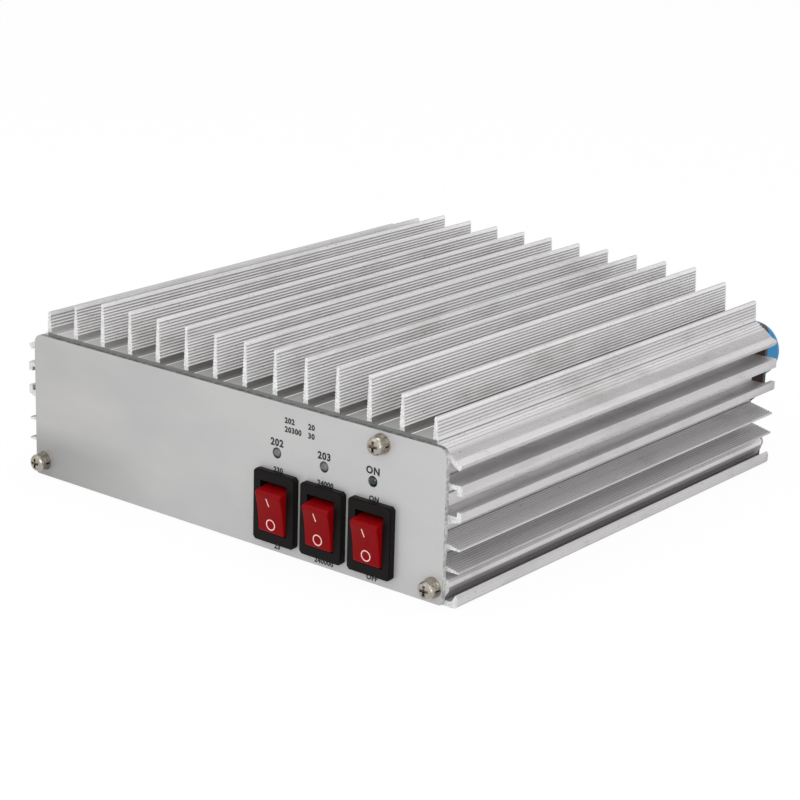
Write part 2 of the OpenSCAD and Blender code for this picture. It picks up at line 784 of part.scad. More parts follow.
module lamp(k, colour) {
  tip_y = face_y - lamp_out;
  color(colour) {
    at_lamp(lamp_x(k), tip_y)
      union() {
        intersection() {
          translate([0, 0, lamp_d / 2])
            sphere(r = lamp_d / 2, $fn = round_facets);
          cylinder(h = lamp_d / 2, r = lamp_d, $fn = round_facets);
        }
        translate([0, 0, lamp_d / 2])
          cylinder(h = lamp_len - lamp_d / 2, r = lamp_d / 2, $fn = round_facets);
        translate([0, 0, lamp_len - lamp_rim_t])
          cylinder(h = lamp_rim_t, r = lamp_rim_r, $fn = round_facets);
        for (s = [-1, 1])
          translate([s * lamp_lead_pitch / 2, 0, lamp_len - lamp_rim_t])
            cylinder(h = lamp_lead_len + lamp_rim_t, r = lamp_lead_r, $fn = wire_facets);
      }
  }
}

module at_lamp(x, y) {
  translate([x, y, lamp_z])
    rotate([-90, 0, 0])
      children();
}

module led_board() {
  color(board_colour)
    translate([lamp_x(0) - lamp_board_margin, lamp_board_y, lamp_z - lamp_board_h / 2])
      cube([2 * switch_pitch + 2 * lamp_board_margin, lamp_board_t, lamp_board_h]);
}

module led_wires() {
  color(white_colour)
    for (k = [0:2])
      wire_up(lamp_x(k) - terminal_w, lamp_board_y + lamp_board_t,
              lamp_z - lamp_wire_bend_r, lamp_wire_r, lamp_wire_bend_r, board_front_y + wire_in);
}

// Sockets: side is 1 on the right and -1 on the left, seen from the front
module socket_shell(side) {
  color(nickel_colour)
    translate([side * socket_x, back_y, socket_z])
      rotate([-90, 0, 0])
        difference() {
          union() {
            cylinder(h = socket_flange_t, r = socket_flange_r, $fn = socket_facets);
            cylinder(h = socket_flange_t + barrel_len, r = barrel_r, $fn = socket_facets);
            translate([0, 0, -stem_len])
              cylinder(h = stem_len, r = stem_r, $fn = socket_facets);
          }
          translate([0, 0, socket_flange_t])
            cylinder(h = barrel_len + cut_over, r = barrel_bore_r, $fn = socket_facets);
          translate([0, 0, -stem_len - cut_over])
            cylinder(h = stem_len + socket_flange_t + 2 * cut_over, r = insulator_stem_r,
                     $fn = socket_facets);
        }
}

module socket_insulator(side) {
  color(white_colour)
    translate([side * socket_x, back_y, socket_z])
      rotate([-90, 0, 0])
        difference() {
          union() {
            translate([0, 0, socket_flange_t])
              cylinder(h = insulator_len, r = barrel_bore_r, $fn = socket_facets);
            translate([0, 0, -stem_len])
              cylinder(h = stem_len + socket_flange_t, r = insulator_stem_r, $fn = socket_facets);
          }
          translate([0, 0, -stem_len - cut_over])
            cylinder(h = stem_len + 2 * cut_over, r = tail_r, $fn = socket_facets);
          cylinder(h = socket_flange_t + insulator_len + cut_over, r = contact_r, $fn = socket_facets);
        }
}

module socket_contact(side) {
  color(copper_colour)
    translate([side * socket_x, back_y, socket_z])
      rotate([-90, 0, 0])
        difference() {
          union() {
            cylinder(h = socket_flange_t + barrel_len - contact_short, r = contact_r, $fn = socket_facets);
            translate([0, 0, -tail_len])
              cylinder(h = tail_len, r = tail_r, $fn = socket_facets);
          }
          translate([0, 0, socket_flange_t])
            cylinder(h = barrel_len, r = contact_bore_r, $fn = socket_facets);
          for (a = [0, 90])
            rotate([0, 0, a])
              translate([-contact_r - cut_over, -contact_slit_w / 2, socket_flange_t + insulator_len])
                cube([2 * contact_r + 2 * cut_over, contact_slit_w, barrel_len]);
        }
}

module socket_nut(side) {
  color(nickel_colour)
    translate([side * socket_x, rear_y - socket_nut_t, socket_z])
      rotate([-90, 0, 0])
        difference() {
          cylinder(h = socket_nut_t, r = socket_nut_af / sqrt(3), $fn = 6);
          translate([0, 0, -cut_over])
            cylinder(h = socket_nut_t + 2 * cut_over, r = stem_r + screw_gap, $fn = socket_facets);
        }
}

// Dust cap: a moulded cup with a rounded end, pushed over the barrel
module dust_cap(side) {
  inner_r = barrel_r + cap_gap;
  outer = concat(
    [[0, 0], [cap_r, 0]],
    arc(cap_r - cap_round_r, cap_len - cap_round_r, cap_round_r, 0, 90, cap_round_steps),
    [[0, cap_len]]);
  color(blue_colour)
    translate([side * socket_x, back_y + socket_flange_t + cap_gap, socket_z])
      rotate([-90, 0, 0])
        difference() {
          rotate_extrude($fn = 64)
            polygon(outer);
          translate([0, 0, -cut_over])
            cylinder(h = cap_len - cap_end_t + cut_over, r = inner_r, $fn = 64);
        }
}

module power_lead_grommet() {
  color(black_colour)
    translate([0, rear_y - grommet_rim_t, grommet_z])
      rotate([-90, 0, 0])
        rotate_extrude($fn = socket_facets)
          polygon([[grommet_bore_r, 0], [grommet_r - grommet_bevel, 0], [grommet_r, grommet_bevel],
                   [grommet_r, grommet_rim_t], [grommet_groove_r, grommet_rim_t],
                   [grommet_groove_r, grommet_rim_t + plate_t], [grommet_r, grommet_rim_t + plate_t],
                   [grommet_r, 2 * grommet_rim_t + plate_t - grommet_bevel],
                   [grommet_r - grommet_bevel, 2 * grommet_rim_t + plate_t],
                   [grommet_bore_r, 2 * grommet_rim_t + plate_t]]);
}
module circuit_board() {
  window_w = transistor_len + 2 * transistor_window_gap;
  window_l = transistor_body + 2 * transistor_window_gap;
  color(board_colour)
    difference() {
      translate([-board_w / 2, board_front_y, board_under])
        cube([board_w, board_len, board_t]);
      for (p = transistor_places)
        translate([p[0] - window_w / 2, p[1] - window_l / 2, board_under - cut_over])
          cube([window_w, window_l, board_t + 2 * cut_over]);
      for (p = board_holes)
        rod_z(p[0], p[1], board_under - cut_over, shank_r + plate_hole_gap, board_t + 2 * cut_over,
              hole_facets);
    }
}

module board_spacers() {
  color(nickel_colour)
    for (p = board_holes)
      difference() {
        rod_z(p[0], p[1], board_top, spacer_r, base_z - board_top);
        rod_z(p[0], p[1], board_top - cut_over, shank_r + spacer_bore_gap,
              base_z - board_top + 2 * cut_over, hole_facets);
      }
}

module hanging_screw(x, y, seat_z) {
  translate([x, y, seat_z])
    rotate([180, 0, 0])
      pan_head_screw(base_z + board_screw_in - seat_z);
}

module board_screws() {
  color(nickel_colour)
    for (p = board_holes)
      hanging_screw(p[0], p[1], board_under);
}

module power_transistor(place) {
  seat = base_z - transistor_flange_t;
  hole_x = transistor_screw_pitch / 2;
  color(copper_colour)
    translate([place[0], place[1], 0])
      difference() {
        union() {
          translate([-transistor_len / 2, -transistor_w / 2, seat])
            cube([transistor_len, transistor_w, transistor_flange_t]);
          translate([-transistor_body / 2, -transistor_body / 2, board_under - transistor_cap_t])
            cube([transistor_body, transistor_body, seat - board_under + transistor_cap_t]);
          translate([-transistor_lead_w / 2, -transistor_lead_len / 2, board_under - transistor_lead_t])
            cube([transistor_lead_w, transistor_lead_len, transistor_lead_t]);
        }
        for (s = [-1, 1])
          rod_z(s * hole_x, 0, seat - cut_over, shank_r + plate_hole_gap,
                transistor_flange_t + 2 * cut_over, hole_facets);
      }
}

module transistor_screws() {
  color(nickel_colour)
    for (p = transistor_places, s = [-1, 1])
      hanging_screw(p[0] + s * transistor_screw_pitch / 2, p[1], base_z - transistor_flange_t);
}

module voltage_regulator() {
  leg_z = base_z - regulator_leg_drop;
  color(black_colour)
    difference() {
      union() {
        translate([regulator_x - regulator_w / 2, regulator_y - regulator_body_len, base_z - regulator_t])
          cube([regulator_w, regulator_body_len, regulator_t]);
        translate([regulator_x - regulator_w / 2, regulator_y - regulator_body_len - regulator_tab_len,
                   base_z - regulator_tab_t])
          cube([regulator_w, regulator_tab_len + cut_over, regulator_tab_t]);
        for (k = [-1:1])
          translate([regulator_x + k * regulator_leg_pitch - regulator_leg_w / 2, regulator_y - cut_over,
                     leg_z - regulator_leg_w / 2]) {
            cube([regulator_leg_w, regulator_leg_len + cut_over, regulator_leg_w]);
            translate([0, regulator_leg_len + cut_over - regulator_leg_w,
                       board_top - leg_z + regulator_leg_w / 2])
              cube([regulator_leg_w, regulator_leg_w, leg_z - board_top]);
          }
      }
      rod_z(regulator_x, regulator_hole_y, base_z - regulator_tab_t - cut_over, shank_r + plate_hole_gap,
            regulator_tab_t + 2 * cut_over, hole_facets);
    }
}

module regulator_screw() {
  color(nickel_colour) hanging_screw(regulator_x, regulator_hole_y, base_z - regulator_tab_t);
}

module relay(place) {
  color(black_colour)
    translate([place[0], place[1], board_under - relay_h])
      union() {
        linear_extrude(relay_h - relay_foot)
          cut_corner_plate(relay_w, relay_len, relay_round);
        translate([0, 0, relay_h - relay_foot])
          linear_extrude(relay_foot)
            cut_corner_plate(relay_w - 2 * relay_round, relay_len - 2 * relay_round, relay_round);
      }
}

// Shares of a can capacitor's height where its crimped groove starts, turns and ends
can_groove_share = [0.78, 0.81, 0.84];

module electrolytic(x, y, r, h) {
  crimp = r / 8;
  groove = h * can_groove_share;
  translate([x, y, board_under - h])
    rotate_extrude($fn = round_facets)
      polygon([[0, 0], [r - crimp, 0], [r, crimp], [r, groove[0]], [r - crimp, groove[1]],
               [r, groove[2]], [r, h - crimp], [r - crimp, h], [0, h]]);
}

// Places of the parts on the board, as shares of its width and length
relay_share = [[-0.364, 0.85], [0.364, 0.85], [0, 0.783]];
electrolytic_share = [[-0.12, 0.5], [0.1, 0.54]];
ring_share = [[-0.2, 0.8], [0.2, 0.8], [-0.364, 0.6], [0.364, 0.6]];
diode_share = [0, 0.36];
function on_board(share) = [board_w * share[0], board_front_y + board_len * share[1]];
relay_places = [for (s = relay_share) on_board(s)];
electrolytic_places = [for (s = electrolytic_share) on_board(s)];
ring_places = [for (s = ring_share) on_board(s)];
diode_place = on_board(diode_share);
electrolytic_radii = [5, 6.3];
electrolytic_heights = [12, 17];
// Two small capacitors beside each lead of a transistor
mica_side = transistor_lead_w / 2 + mica_w / 2 + mica_gap;
mica_end = transistor_body / 2 + mica_w / 2 + mica_gap;
mica_places = [for (p = transistor_places, s = [-1, 1], e = [-1, 1])
  [p[0] + s * mica_side, p[1] + e * mica_end]];
diode_r = 2.7;
diode_len = 9.5;
diode_lead_r = 0.6;

module electrolytic_capacitors() {
  color(black_colour)
    for (k = [0:1])
      electrolytic(electrolytic_places[k][0], electrolytic_places[k][1],
                   electrolytic_radii[k], electrolytic_heights[k]);
}

module mica_capacitors() {
  color(nickel_colour)
    for (p = mica_places)
      translate([p[0] - mica_w / 2, p[1] - mica_w / 2, board_under - mica_t])
        cube([mica_w, mica_w, mica_t]);
}

module ferrite_rings() {
  color(black_colour)
    for (p = ring_places)
      translate([p[0] - ring_t / 2, p[1], board_under - ring_r])
        rotate([0, 90, 0])
          difference() {
            cylinder(h = ring_t, r = ring_r, $fn = round_facets);
            translate([0, 0, -cut_over])
              cylinder(h = ring_t + 2 * cut_over, r = ring_bore_r, $fn = round_facets);
          }
}

module protection_diode() {
  lead_end = diode_len / 2 + 4 * diode_r / 3;
  color(black_colour)
    translate([diode_place[0], diode_place[1], board_under - diode_r]) {
      translate([-diode_len / 2, 0, 0])
        rotate([0, 90, 0])
          cylinder(h = diode_len, r = diode_r, $fn = round_facets);
      translate([-lead_end, 0, 0])
        rotate([0, 90, 0])
          cylinder(h = 2 * lead_end, r = diode_lead_r, $fn = wire_facets);
      for (s = [-1, 1])
        translate([s * (lead_end - diode_lead_r), 0, 0])
          cylinder(h = diode_r, r = diode_lead_r, $fn = wire_facets);
    }
}

heatsink();
bottom_tray();
front_panel();
rear_panel();
front_panel_screws();
front_spring_washers();
front_flat_washers();
rear_panel_screws();
rear_spring_washers();
rear_flat_washers();
switch_housing(0);  // mode_switch_housing
switch_housing(1);  // duplex_switch_housing
switch_housing(2);  // power_switch_housing
rocker(0);  // mode_rocker
rocker(1);  // duplex_rocker
rocker(2);  // power_rocker
terminals(0, 3);  // mode_switch_terminals
terminals(1, 3);  // duplex_switch_terminals
terminals(2, 2);  // power_switch_terminals
switch_wires(0, 3);  // mode_switch_wires
switch_wires(1, 3);  // duplex_switch_wires
switch_wires(2, 2);  // power_switch_wires
lamp(0, white_colour);  // vhf_led
lamp(1, white_colour);  // uhf_led
lamp(2, board_colour);  // power_led
led_board();
led_wires();
socket_shell(-1);  // input_socket
socket_insulator(-1);  // input_socket_insulator
socket_contact(-1);  // input_socket_contact
socket_nut(-1);  // input_socket_nut
socket_shell(1);  // output_socket
socket_insulator(1);  // output_socket_insulator
socket_contact(1);  // output_socket_contact
socket_nut(1);  // output_socket_nut
dust_cap(-1);  // input_cap
dust_cap(1);  // output_cap
power_lead_grommet();
circuit_board();
board_spacers();
board_screws();
power_transistor(transistor_places[0]);  // vhf_power_transistor
power_transistor(transistor_places[1]);  // uhf_power_transistor
transistor_screws();
voltage_regulator();
regulator_screw();
relay(relay_places[0]);  // input_relay
relay(relay_places[1]);  // output_relay
relay(relay_places[2]);  // band_relay
electrolytic_capacitors();
mica_capacitors();
ferrite_rings();
protection_diode();
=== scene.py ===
"""Finishes, printed marks and studio for a radio linear amplifier in a finned aluminium case."""

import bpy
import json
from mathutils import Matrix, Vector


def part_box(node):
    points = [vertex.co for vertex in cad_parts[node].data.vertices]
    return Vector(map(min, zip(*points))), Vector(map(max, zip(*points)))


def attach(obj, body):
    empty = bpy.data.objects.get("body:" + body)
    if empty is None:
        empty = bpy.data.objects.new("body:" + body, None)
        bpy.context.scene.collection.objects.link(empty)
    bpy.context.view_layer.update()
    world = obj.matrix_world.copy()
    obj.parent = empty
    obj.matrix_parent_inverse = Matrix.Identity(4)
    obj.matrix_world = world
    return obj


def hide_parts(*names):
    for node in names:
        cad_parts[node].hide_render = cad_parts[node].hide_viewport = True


bl_info = {
    "name": "Radio Linear Amplifier",
    "version": (1, 0, 0),
    "blender": (4, 5, 0),
    "location": "View3D > Sidebar > Amplifier",
    "description": "Finishes a finned radio amplifier, prints its marks and sets up its studio",
    "category": "Object",
}

import json
import math
from functools import partial

import bmesh
import bpy
from bpy.props import FloatProperty, FloatVectorProperty, PointerProperty
from bpy.types import NodeSocket, Operator, Panel, PropertyGroup
from mathutils import Matrix, Vector

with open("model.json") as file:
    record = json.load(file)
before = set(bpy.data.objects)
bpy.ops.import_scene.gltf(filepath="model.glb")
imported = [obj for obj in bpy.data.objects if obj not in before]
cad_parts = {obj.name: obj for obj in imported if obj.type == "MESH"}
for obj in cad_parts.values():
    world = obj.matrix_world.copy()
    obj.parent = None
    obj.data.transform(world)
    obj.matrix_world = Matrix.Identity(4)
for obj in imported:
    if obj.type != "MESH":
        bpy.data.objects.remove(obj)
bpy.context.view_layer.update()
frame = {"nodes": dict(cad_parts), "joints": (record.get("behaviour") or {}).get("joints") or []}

MM = 0.001

# Face of the front plate
FACE_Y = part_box("front_panel")[0].y
SWITCHES = ("mode", "duplex", "power")
LAMPS = ("vhf_led", "uhf_led", "power_led")

# The extrusions, in millimetres: width of the body, thickness of a fin's root, and the number of
# gaps between the fins
BODY_WIDTH, FIN_ROOT, FIN_GAPS = 147.8, 1.9, 13
FIN_PITCH = (BODY_WIDTH - FIN_ROOT) / FIN_GAPS
# Their zones. Distances from the middle: the wall that carries the side fins, the start of the
# outermost fin's zone, and the end of the valleys' zone
OUTER_WALL, OUTER_FIN, VALLEY_REACH = BODY_WIDTH / 2, 69.9, 73.0
# Widths beside the wall: all of it, the channel over the flange, and the slot's inner wall
ALL_BESIDE, CHANNEL_WIDTH, SLOT_WALL = 20.0, 5.45, 0.3
# Heights, from the foot up
CHANNEL_Z, RAISED_STRIP_Z = (1.5, 5.6), (5.6, 7.8)
SIDE_FINS_Z, LOWER_SIDE_FIN_Z = (9, 24), (9, 13)
SLOT_Z = (25.6, 33.4)
SAWN_STRIP_Z, VALLEY_FLOOR_Z = (43, 45.6), (44.9, 46.8)
FINS_Z, FIN_TIPS_Z = (44.5, 60), (50, 60)
# Over how much a zone starts and ends, to the sides and in height
SOFT, SOFT_Z = 0.1, 0.3

WHITE = (1, 1, 1, 1)

# Share of a font's size that its capitals are high
CAP_SHARE = 0.73
# Thickness of the printed ink in millimetres
INK_THICKNESS = 0.03


def box_centre(node):
    low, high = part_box(node)
    return (low + high) / 2


def linear(hex_colour):
    """Turns a sRGB hex value such as "#C0C2C3" to linear red, green, blue and alpha."""
    parts = [int(hex_colour[k : k + 2], 16) / 255 for k in (1, 3, 5)]
    return (*(c / 12.92 if c <= 0.04045 else ((c + 0.055) / 1.055) ** 2.4 for c in parts), 1.0)


def shade_of(colour, share):
    """A colour with its red, green and blue multiplied by a share."""
    return tuple(c * share for c in colour[:3]) + (1,)


# Finishes


def add_node(tree, kind, inputs=(), out=None, **settings):
    """Adds a node with its settings and returns an output: the one named out, or the first.

    inputs holds numbers, colours or outputs of other nodes, by name or in the node's order.
    """
    node = tree.nodes.new(f"ShaderNode{kind}")
    for name, value in settings.items():
        setattr(node, name, value)
    if isinstance(inputs, dict):
        pairs = [(node.inputs[name], value) for name, value in inputs.items()]
    else:
        pairs = zip([socket for socket in node.inputs if socket.enabled], inputs)
    for socket, value in pairs:
        if isinstance(value, NodeSocket):
            tree.links.new(value, socket)
        else:
            socket.default_value = value
    outputs = [socket for socket in node.outputs if socket.enabled and out in (None, socket.name)]
    return outputs[0] if outputs else None


def finish_of(name, colour, **shader_values):
    """A new material, a way to add nodes to it, and its shader.

    shader_values are the shader's values that are the same all over, or that stand in for a
    source that is linked later.
    """
    material = bpy.data.materials.new(name)
    material.use_nodes = True
    shader = material.node_tree.nodes["Principled BSDF"]
    shader.inputs["Base Color"].default_value = (*colour[:3], 1)
    for key, value in shader_values.items():
        shader.inputs[key.replace("_", " ")].default_value = value
    return material, partial(add_node, material.node_tree), shader


def feed(shader, **sources):
    """Links sources to the inputs of a shader that they are named for."""
    for name, source in sources.items():
        shader.id_data.links.new(source, shader.inputs[name.replace("_", " ")])


def layered(node, colour, *layers):
    """A colour with others laid over it in turn, each given with its share or its mask."""
    for share, over in layers:
        colour = node("Mix", (share, colour, over), data_type="RGBA")
    return colour


def overlap(node, zone, *others):
    """Where all of several masks lie, as their product."""
    for other in others:
        zone = node("Math", (zone, other), operation="MULTIPLY")
    return zone


def cells(node, size_mm, detail=2.0, roughness=0.5, seed=(0, 0, 0)):
    """Noise in the part's own frame, with cells of given sizes in millimetres along X, Y and Z."""
    scale = [1 / (size * MM) for size in size_mm]
    place = {"Vector": node("TexCoord", out="Object"), "Scale": scale, "Location": seed}
    noise = {"Scale": 1.0, "Detail": detail, "Roughness": roughness}
    return node("TexNoise", {"Vector": node("Mapping", place), **noise}, out="Fac")


def along(node, axis):
    """Place along one of the part's own axes, in millimetres."""
    place = node("SeparateXYZ", (node("TexCoord", out="Object"),), out=axis)
    return node("Math", (place, 1 / MM), operation="MULTIPLY")


def aside(node):
    """Distance to either side of the middle, in millimetres."""
    return node("Math", (along(node, "X"),), operation="ABSOLUTE")


def outward(node, axis):
    """How far a face points along one of the part's own axes, from -1 to 1."""
    return node("SeparateXYZ", (node("TexCoord", out="Normal"),), out=axis)


def facing(node, axis):
    """How squarely a face points along one of the part's own axes, from 0 to 1."""
    return node("Math", (outward(node, axis),), operation="ABSOLUTE")


def upward(node, low, high):
    """How far a face looks up: 0 to the lower slope, 1 from the higher one."""
    return node("MapRange", (outward(node, "Z"), low, high, 0, 1))


def level(node, low, high):
    """1 between two heights in millimetres, else 0."""
    over = node("MapRange", (along(node, "Z"), low, low + SOFT_Z, 0, 1))
    under = node("MapRange", (along(node, "Z"), high - SOFT_Z, high, 1, 0))
    return overlap(node, over, under)


def beside(node, width):
    """1 from the outer wall outwards for a width, else 0."""
    near = node("MapRange", (aside(node), OUTER_WALL - 2 * SOFT, OUTER_WALL - SOFT, 0, 1))
    far = node("MapRange", (aside(node), OUTER_WALL + width, OUTER_WALL + width + SOFT, 1, 0))
    return overlap(node, near, far)


def groove_shade(node):
    """Painted shade: 0.6 in grooves shut in by their own sides within 0.7 mm, 0 on open faces."""
    reach = {"Distance": 0.7 * MM}
    openness = node("AmbientOcclusion", reach, out="AO", samples=6, only_local=True)
    return node("MapRange", (openness, 0.6, 0.95, 0.6, 0))


def valley_floor(node):
    """1 at the foot of the valleys between the fins, else 0."""
    inside = node("MapRange", (aside(node), VALLEY_REACH, VALLEY_REACH + 2 * SOFT, 1, 0))
    return overlap(node, level(node, *VALLEY_FLOOR_Z), inside)


def valley_shade_and_highlight(node):
    """Dull grey with a painted highlight left of each valley's middle, painted shade left of it."""
    pitches = node("Math", (along(node, "X"), FIN_PITCH), operation="DIVIDE")
    ramp = node("ValToRGB", {"Fac": node("Math", (pitches,), operation="FRACT")}, out="Color")
    tones = ramp.node.color_ramp
    # dark is painted shade, bright a painted highlight
    dull, dark, bright = linear("#9FA09E"), linear("#807D7D"), linear("#F0F0F0")
    # Places from the middle of one valley to that of the next, as shares of the pitch
    stops = (
        (0.0, dull), (0.5, dull), (0.54, dark), (0.77, dark),
        (0.775, bright), (0.81, bright), (0.82, dull), (1.0, dull),
    )
    while len(tones.elements) < len(stops):
        tones.elements.new(0.5)
    for stop, (place, colour) in zip(tones.elements, stops):
        stop.position, stop.color = place, colour
    # The valleys to the left are paler
    left = node("MapRange", (along(node, "X"), -72, -25, 0.5, 0))
    return layered(node, ramp, (left, linear("#DADADA")))


def extruded_aluminium(colours):
    """6063 aluminium as it leaves the die, sawn at its ends and not anodised.

    The die leaves long fine lines and a soft satin; handling leaves warm grey smudges; the saw
    leaves brighter ends. Painted shade darkens the grooves, the ribs' undersides, the fins' tops,
    the outer parts and the channel over the flange; painted light pales the slot walls and draws
    a highlight along each valley.
    """
    base = (*colours.extrusion, 1)
    material, node, shader = finish_of(
        "Extruded aluminium, mill finish", base, Metallic=0.55, Roughness=0.52
    )
    # Die lines about 0.5 mm apart that run the whole length
    lines = cells(node, (0.5, 160, 0.5), detail=3)
    # Smudges the size of a fingertip
    smears = cells(node, (14, 30, 9), detail=4, roughness=0.65)
    smudge = node("MapRange", (smears, 0.5, 0.75, 0, 1))
    # Painted shade greys what stands out at the sides, and the raised strip less
    painted_shade_outer = overlap(
        node,
        node("MapRange", (aside(node), OUTER_WALL + 0.1, OUTER_WALL + 4, 0, 0.44)),
        node("MapRange", (level(node, *RAISED_STRIP_Z), 0, 1, 1, 0.35)),
    )
    # Painted shade on the upper faces of the side fins, and more of it at the lower fin's tip
    shade_on_side_fins = overlap(
        node, level(node, *SIDE_FINS_Z), beside(node, ALL_BESIDE), upward(node, 0.4, 0.6), 0.26
    )
    towards_tip = node("MapRange", (aside(node), OUTER_WALL + 1, OUTER_WALL + 7.5, 0, 1))
    shade_on_lower_tip = overlap(node, level(node, *LOWER_SIDE_FIN_Z), towards_tip, 0.24)
    # Painted shade on the fins' upward tips, and some over the outermost fins
    shade_on_tips = overlap(node, level(node, *FIN_TIPS_Z), upward(node, 0.85, 0.95), 0.5)
    outermost = node("MapRange", (aside(node), OUTER_FIN, OUTER_FIN + SOFT, 0, 1))
    shade_on_outer_fins = overlap(node, level(node, *FINS_Z), outermost, 0.2)
    # Painted shade under the ledge fills the channel over the flange, less of it at its foot
    deeper_shade = node("MapRange", (along(node, "Z"), 2.5, 5, 0.45, 1))
    shade_in_channel = overlap(node, level(node, *CHANNEL_Z), beside(node, CHANNEL_WIDTH), deeper_shade, 0.75)
    # Painted light: the slots' inner walls, in deep shade, are painted pale, dull and not metallic
    painted_light_in_slots = overlap(node, level(node, *SLOT_Z), beside(node, SLOT_WALL))
    # A few specks of grit, half a millimetre across
    specks = cells(node, (0.6, 1.1, 0.6), detail=1, seed=(7, 2, 9))
    # Grey of the painted shade on the fins and in the channel
    painted_shade_grey = linear("#6E6B6C")
    drawn = layered(
        node,
        shade_of(base, 0.86),
        (node("MapRange", (lines, 0.3, 0.7, 0, 1)), base),
        (node("MapRange", (smudge, 0, 1, 0, 0.35)), linear("#8E8A84")),
        # Painted shade: the ribs' undersides, which face down, are darker than the rest
        (node("MapRange", (outward(node, "Z"), -0.75, -0.1, 0.35, 0)), linear("#6B6869")),
        # Painted shade in the grooves
        (groove_shade(node), linear("#4E4B4B")),
        (painted_shade_outer, linear("#7A7778")),
        (shade_on_side_fins, painted_shade_grey),
        (shade_on_lower_tip, painted_shade_grey),
        (shade_on_tips, painted_shade_grey),
        (shade_on_outer_fins, painted_shade_grey),
        (shade_in_channel, painted_shade_grey),
        (node("MapRange", (painted_light_in_slots, 0, 1, 0, 0.9)), linear("#FCFCFC")),
        (valley_floor(node), valley_shade_and_highlight(node)),
        (node("MapRange", (specks, 0.7, 0.76, 0, 0.5)), linear("#5E5A54")),
    )
    # The saw tears the ends; their strip over the front plate lies in shade, painted here dark grey
    teeth = cells(node, (0.35, 0.35, 0.35), detail=2)
    between = node("MapRange", (aside(node), OUTER_WALL - 0.6, OUTER_WALL, 1, 0))
    sawn = layered(
        node,
        linear("#C0C2C1"),
        (node("MapRange", (teeth, 0.38, 0.6, 0, 1)), linear("#E6E7E7")),
        (overlap(node, level(node, *SAWN_STRIP_Z), between), linear("#6E716D")),
    )
    ends = node("MapRange", (facing(node, "Y"), 0.8, 0.95, 0, 0.85))
    feed(
        shader,
        Base_Color=layered(node, drawn, (ends, sawn)),
        Roughness=node("MapRange", (smudge, 0, 1, 0.52, 0.64)),
        Metallic=node("MapRange", (painted_light_in_slots, 0, 1, 0.55, 0.0)),
        Normal=node("Bump", {"Height": lines, "Distance": 0.03 * MM}),
    )
    return material


def front_plate_finish(colours):
    """Aluminium sheet with a fine blasted face under a matt clear coat, sheared at its edges.

    The blasting gives an even pale grey with a fine grain; the sheared edge is darker and pitted.
    """
    base = (*colours.front_plate, 1)
    material, node, shader = finish_of(
        "Blasted aluminium sheet, matt coat", base, Metallic=0.35, Roughness=0.46
    )
    # Grit marks, drawn at 0.3 mm so that they show
    grit = cells(node, (0.3, 0.3, 0.3), detail=2)
    cloud = cells(node, (26, 26, 12), detail=3, seed=(3, 0, 1))
    # Painted light: the face is paler and cooler to the right
    painted_light_tone = (base[0] * 1.05, base[1] * 1.066, base[2] * 1.11, 1)
    painted_light_rightward = node("MapRange", (along(node, "X"), -70, 75, 0, 1))
    coat = layered(node, shade_of(base, 0.87), (painted_light_rightward, painted_light_tone))
    # The lower left corner is darker
    corner = overlap(
        node,
        node("MapRange", (along(node, "Z"), 10, 17, 0.9, 0)),
        node("MapRange", (along(node, "X"), -66, -28, 1, 0)),
    )
    face = layered(
        node,
        shade_of(base, 0.93),
        (node("MapRange", (grit, 0.35, 0.65, 0, 1)), coat),
        (node("MapRange", (cloud, 0.35, 0.7, 0, 0.3)), linear("#C2C1BE")),
        (corner, shade_of(base, 0.66)),
    )
    # The sheared edges are pitted, and the upper one is dull and painted dark as the shade on it
    holes = cells(node, (1.1, 1.1, 1.1), detail=3, seed=(5, 2, 0))
    pits = node("MapRange", (holes, 0.42, 0.62, 0, 1))
    painted_shade_edge = layered(node, linear("#4E524F"), (pits, linear("#7A7D79")))
    edges = layered(
        node, linear("#989A97"), (pits, linear("#C2C3C0")), (upward(node, 0.5, 0.9), painted_shade_edge)
    )
    edgeways = node("MapRange", (facing(node, "Y"), 0.5, 0.8, 1, 0))
    feed(
        shader,
        Base_Color=layered(node, face, (edgeways, edges)),
        Normal=node("Bump", {"Height": grit, "Distance": 0.01 * MM}),
    )
    return material


def rear_plate_finish():
    """The same sheet, brown black and flat all over, its cut edges too."""
    material, node, shader = finish_of("Matt brown black sheet", linear("#372F2D"), Roughness=0.62)
    grain = cells(node, (0.4, 0.4, 0.4), detail=2)
    brown_black = layered(node, linear("#322A29"), (grain, linear("#403735")))
    feed(shader, Base_Color=brown_black, Normal=node("Bump", {"Height": grain, "Distance": 0.02 * MM}))
    return material


def nickel_plate(colours):
    """Steel, turned or stamped, with bright nickel plating.

    Nickel is a warm grey mirror, dulled here by handling and fine turning marks.
    """
    base = (*colours.nickel, 1)
    material, node, shader = finish_of("Bright nickel plate", base, Metallic=1.0, Roughness=0.22)
    marks = cells(node, (0.35, 0.35, 0.35), detail=3)
    prints = cells(node, (2.5, 2.5, 2.5), detail=3, seed=(1, 4, 2))
    dull = node("MapRange", (prints, 0.45, 0.7, 0, 0.55))
    feed(
        shader,
        Base_Color=layered(node, base, (dull, linear("#6A655C"))),
        Roughness=node("MapRange", (marks, 0.3, 0.7, 0.16, 0.36)),
        Normal=node("Bump", {"Height": marks, "Distance": 0.015 * MM}),
    )
    return material


def grained(name, base, roughness, grain_mm, depth_mm, dark=0.9, **values):
    """An even finish whose fine grain, as of a mould, slightly changes its tone and its height."""
    material, node, shader = finish_of(name, base, Roughness=roughness, **values)
    grain = cells(node, (grain_mm,) * 3, detail=3)
    crest = node("MapRange", (grain, 0.35, 0.65, 0, 1))
    feed(
        shader,
        Base_Color=layered(node, shade_of(base, dark), (crest, (*base[:3], 1))),
        Roughness=node("MapRange", (grain, 0.3, 0.7, roughness * 0.9, roughness * 1.1)),
        Normal=node("Bump", {"Height": grain, "Distance": depth_mm * MM}),
    )
    return material


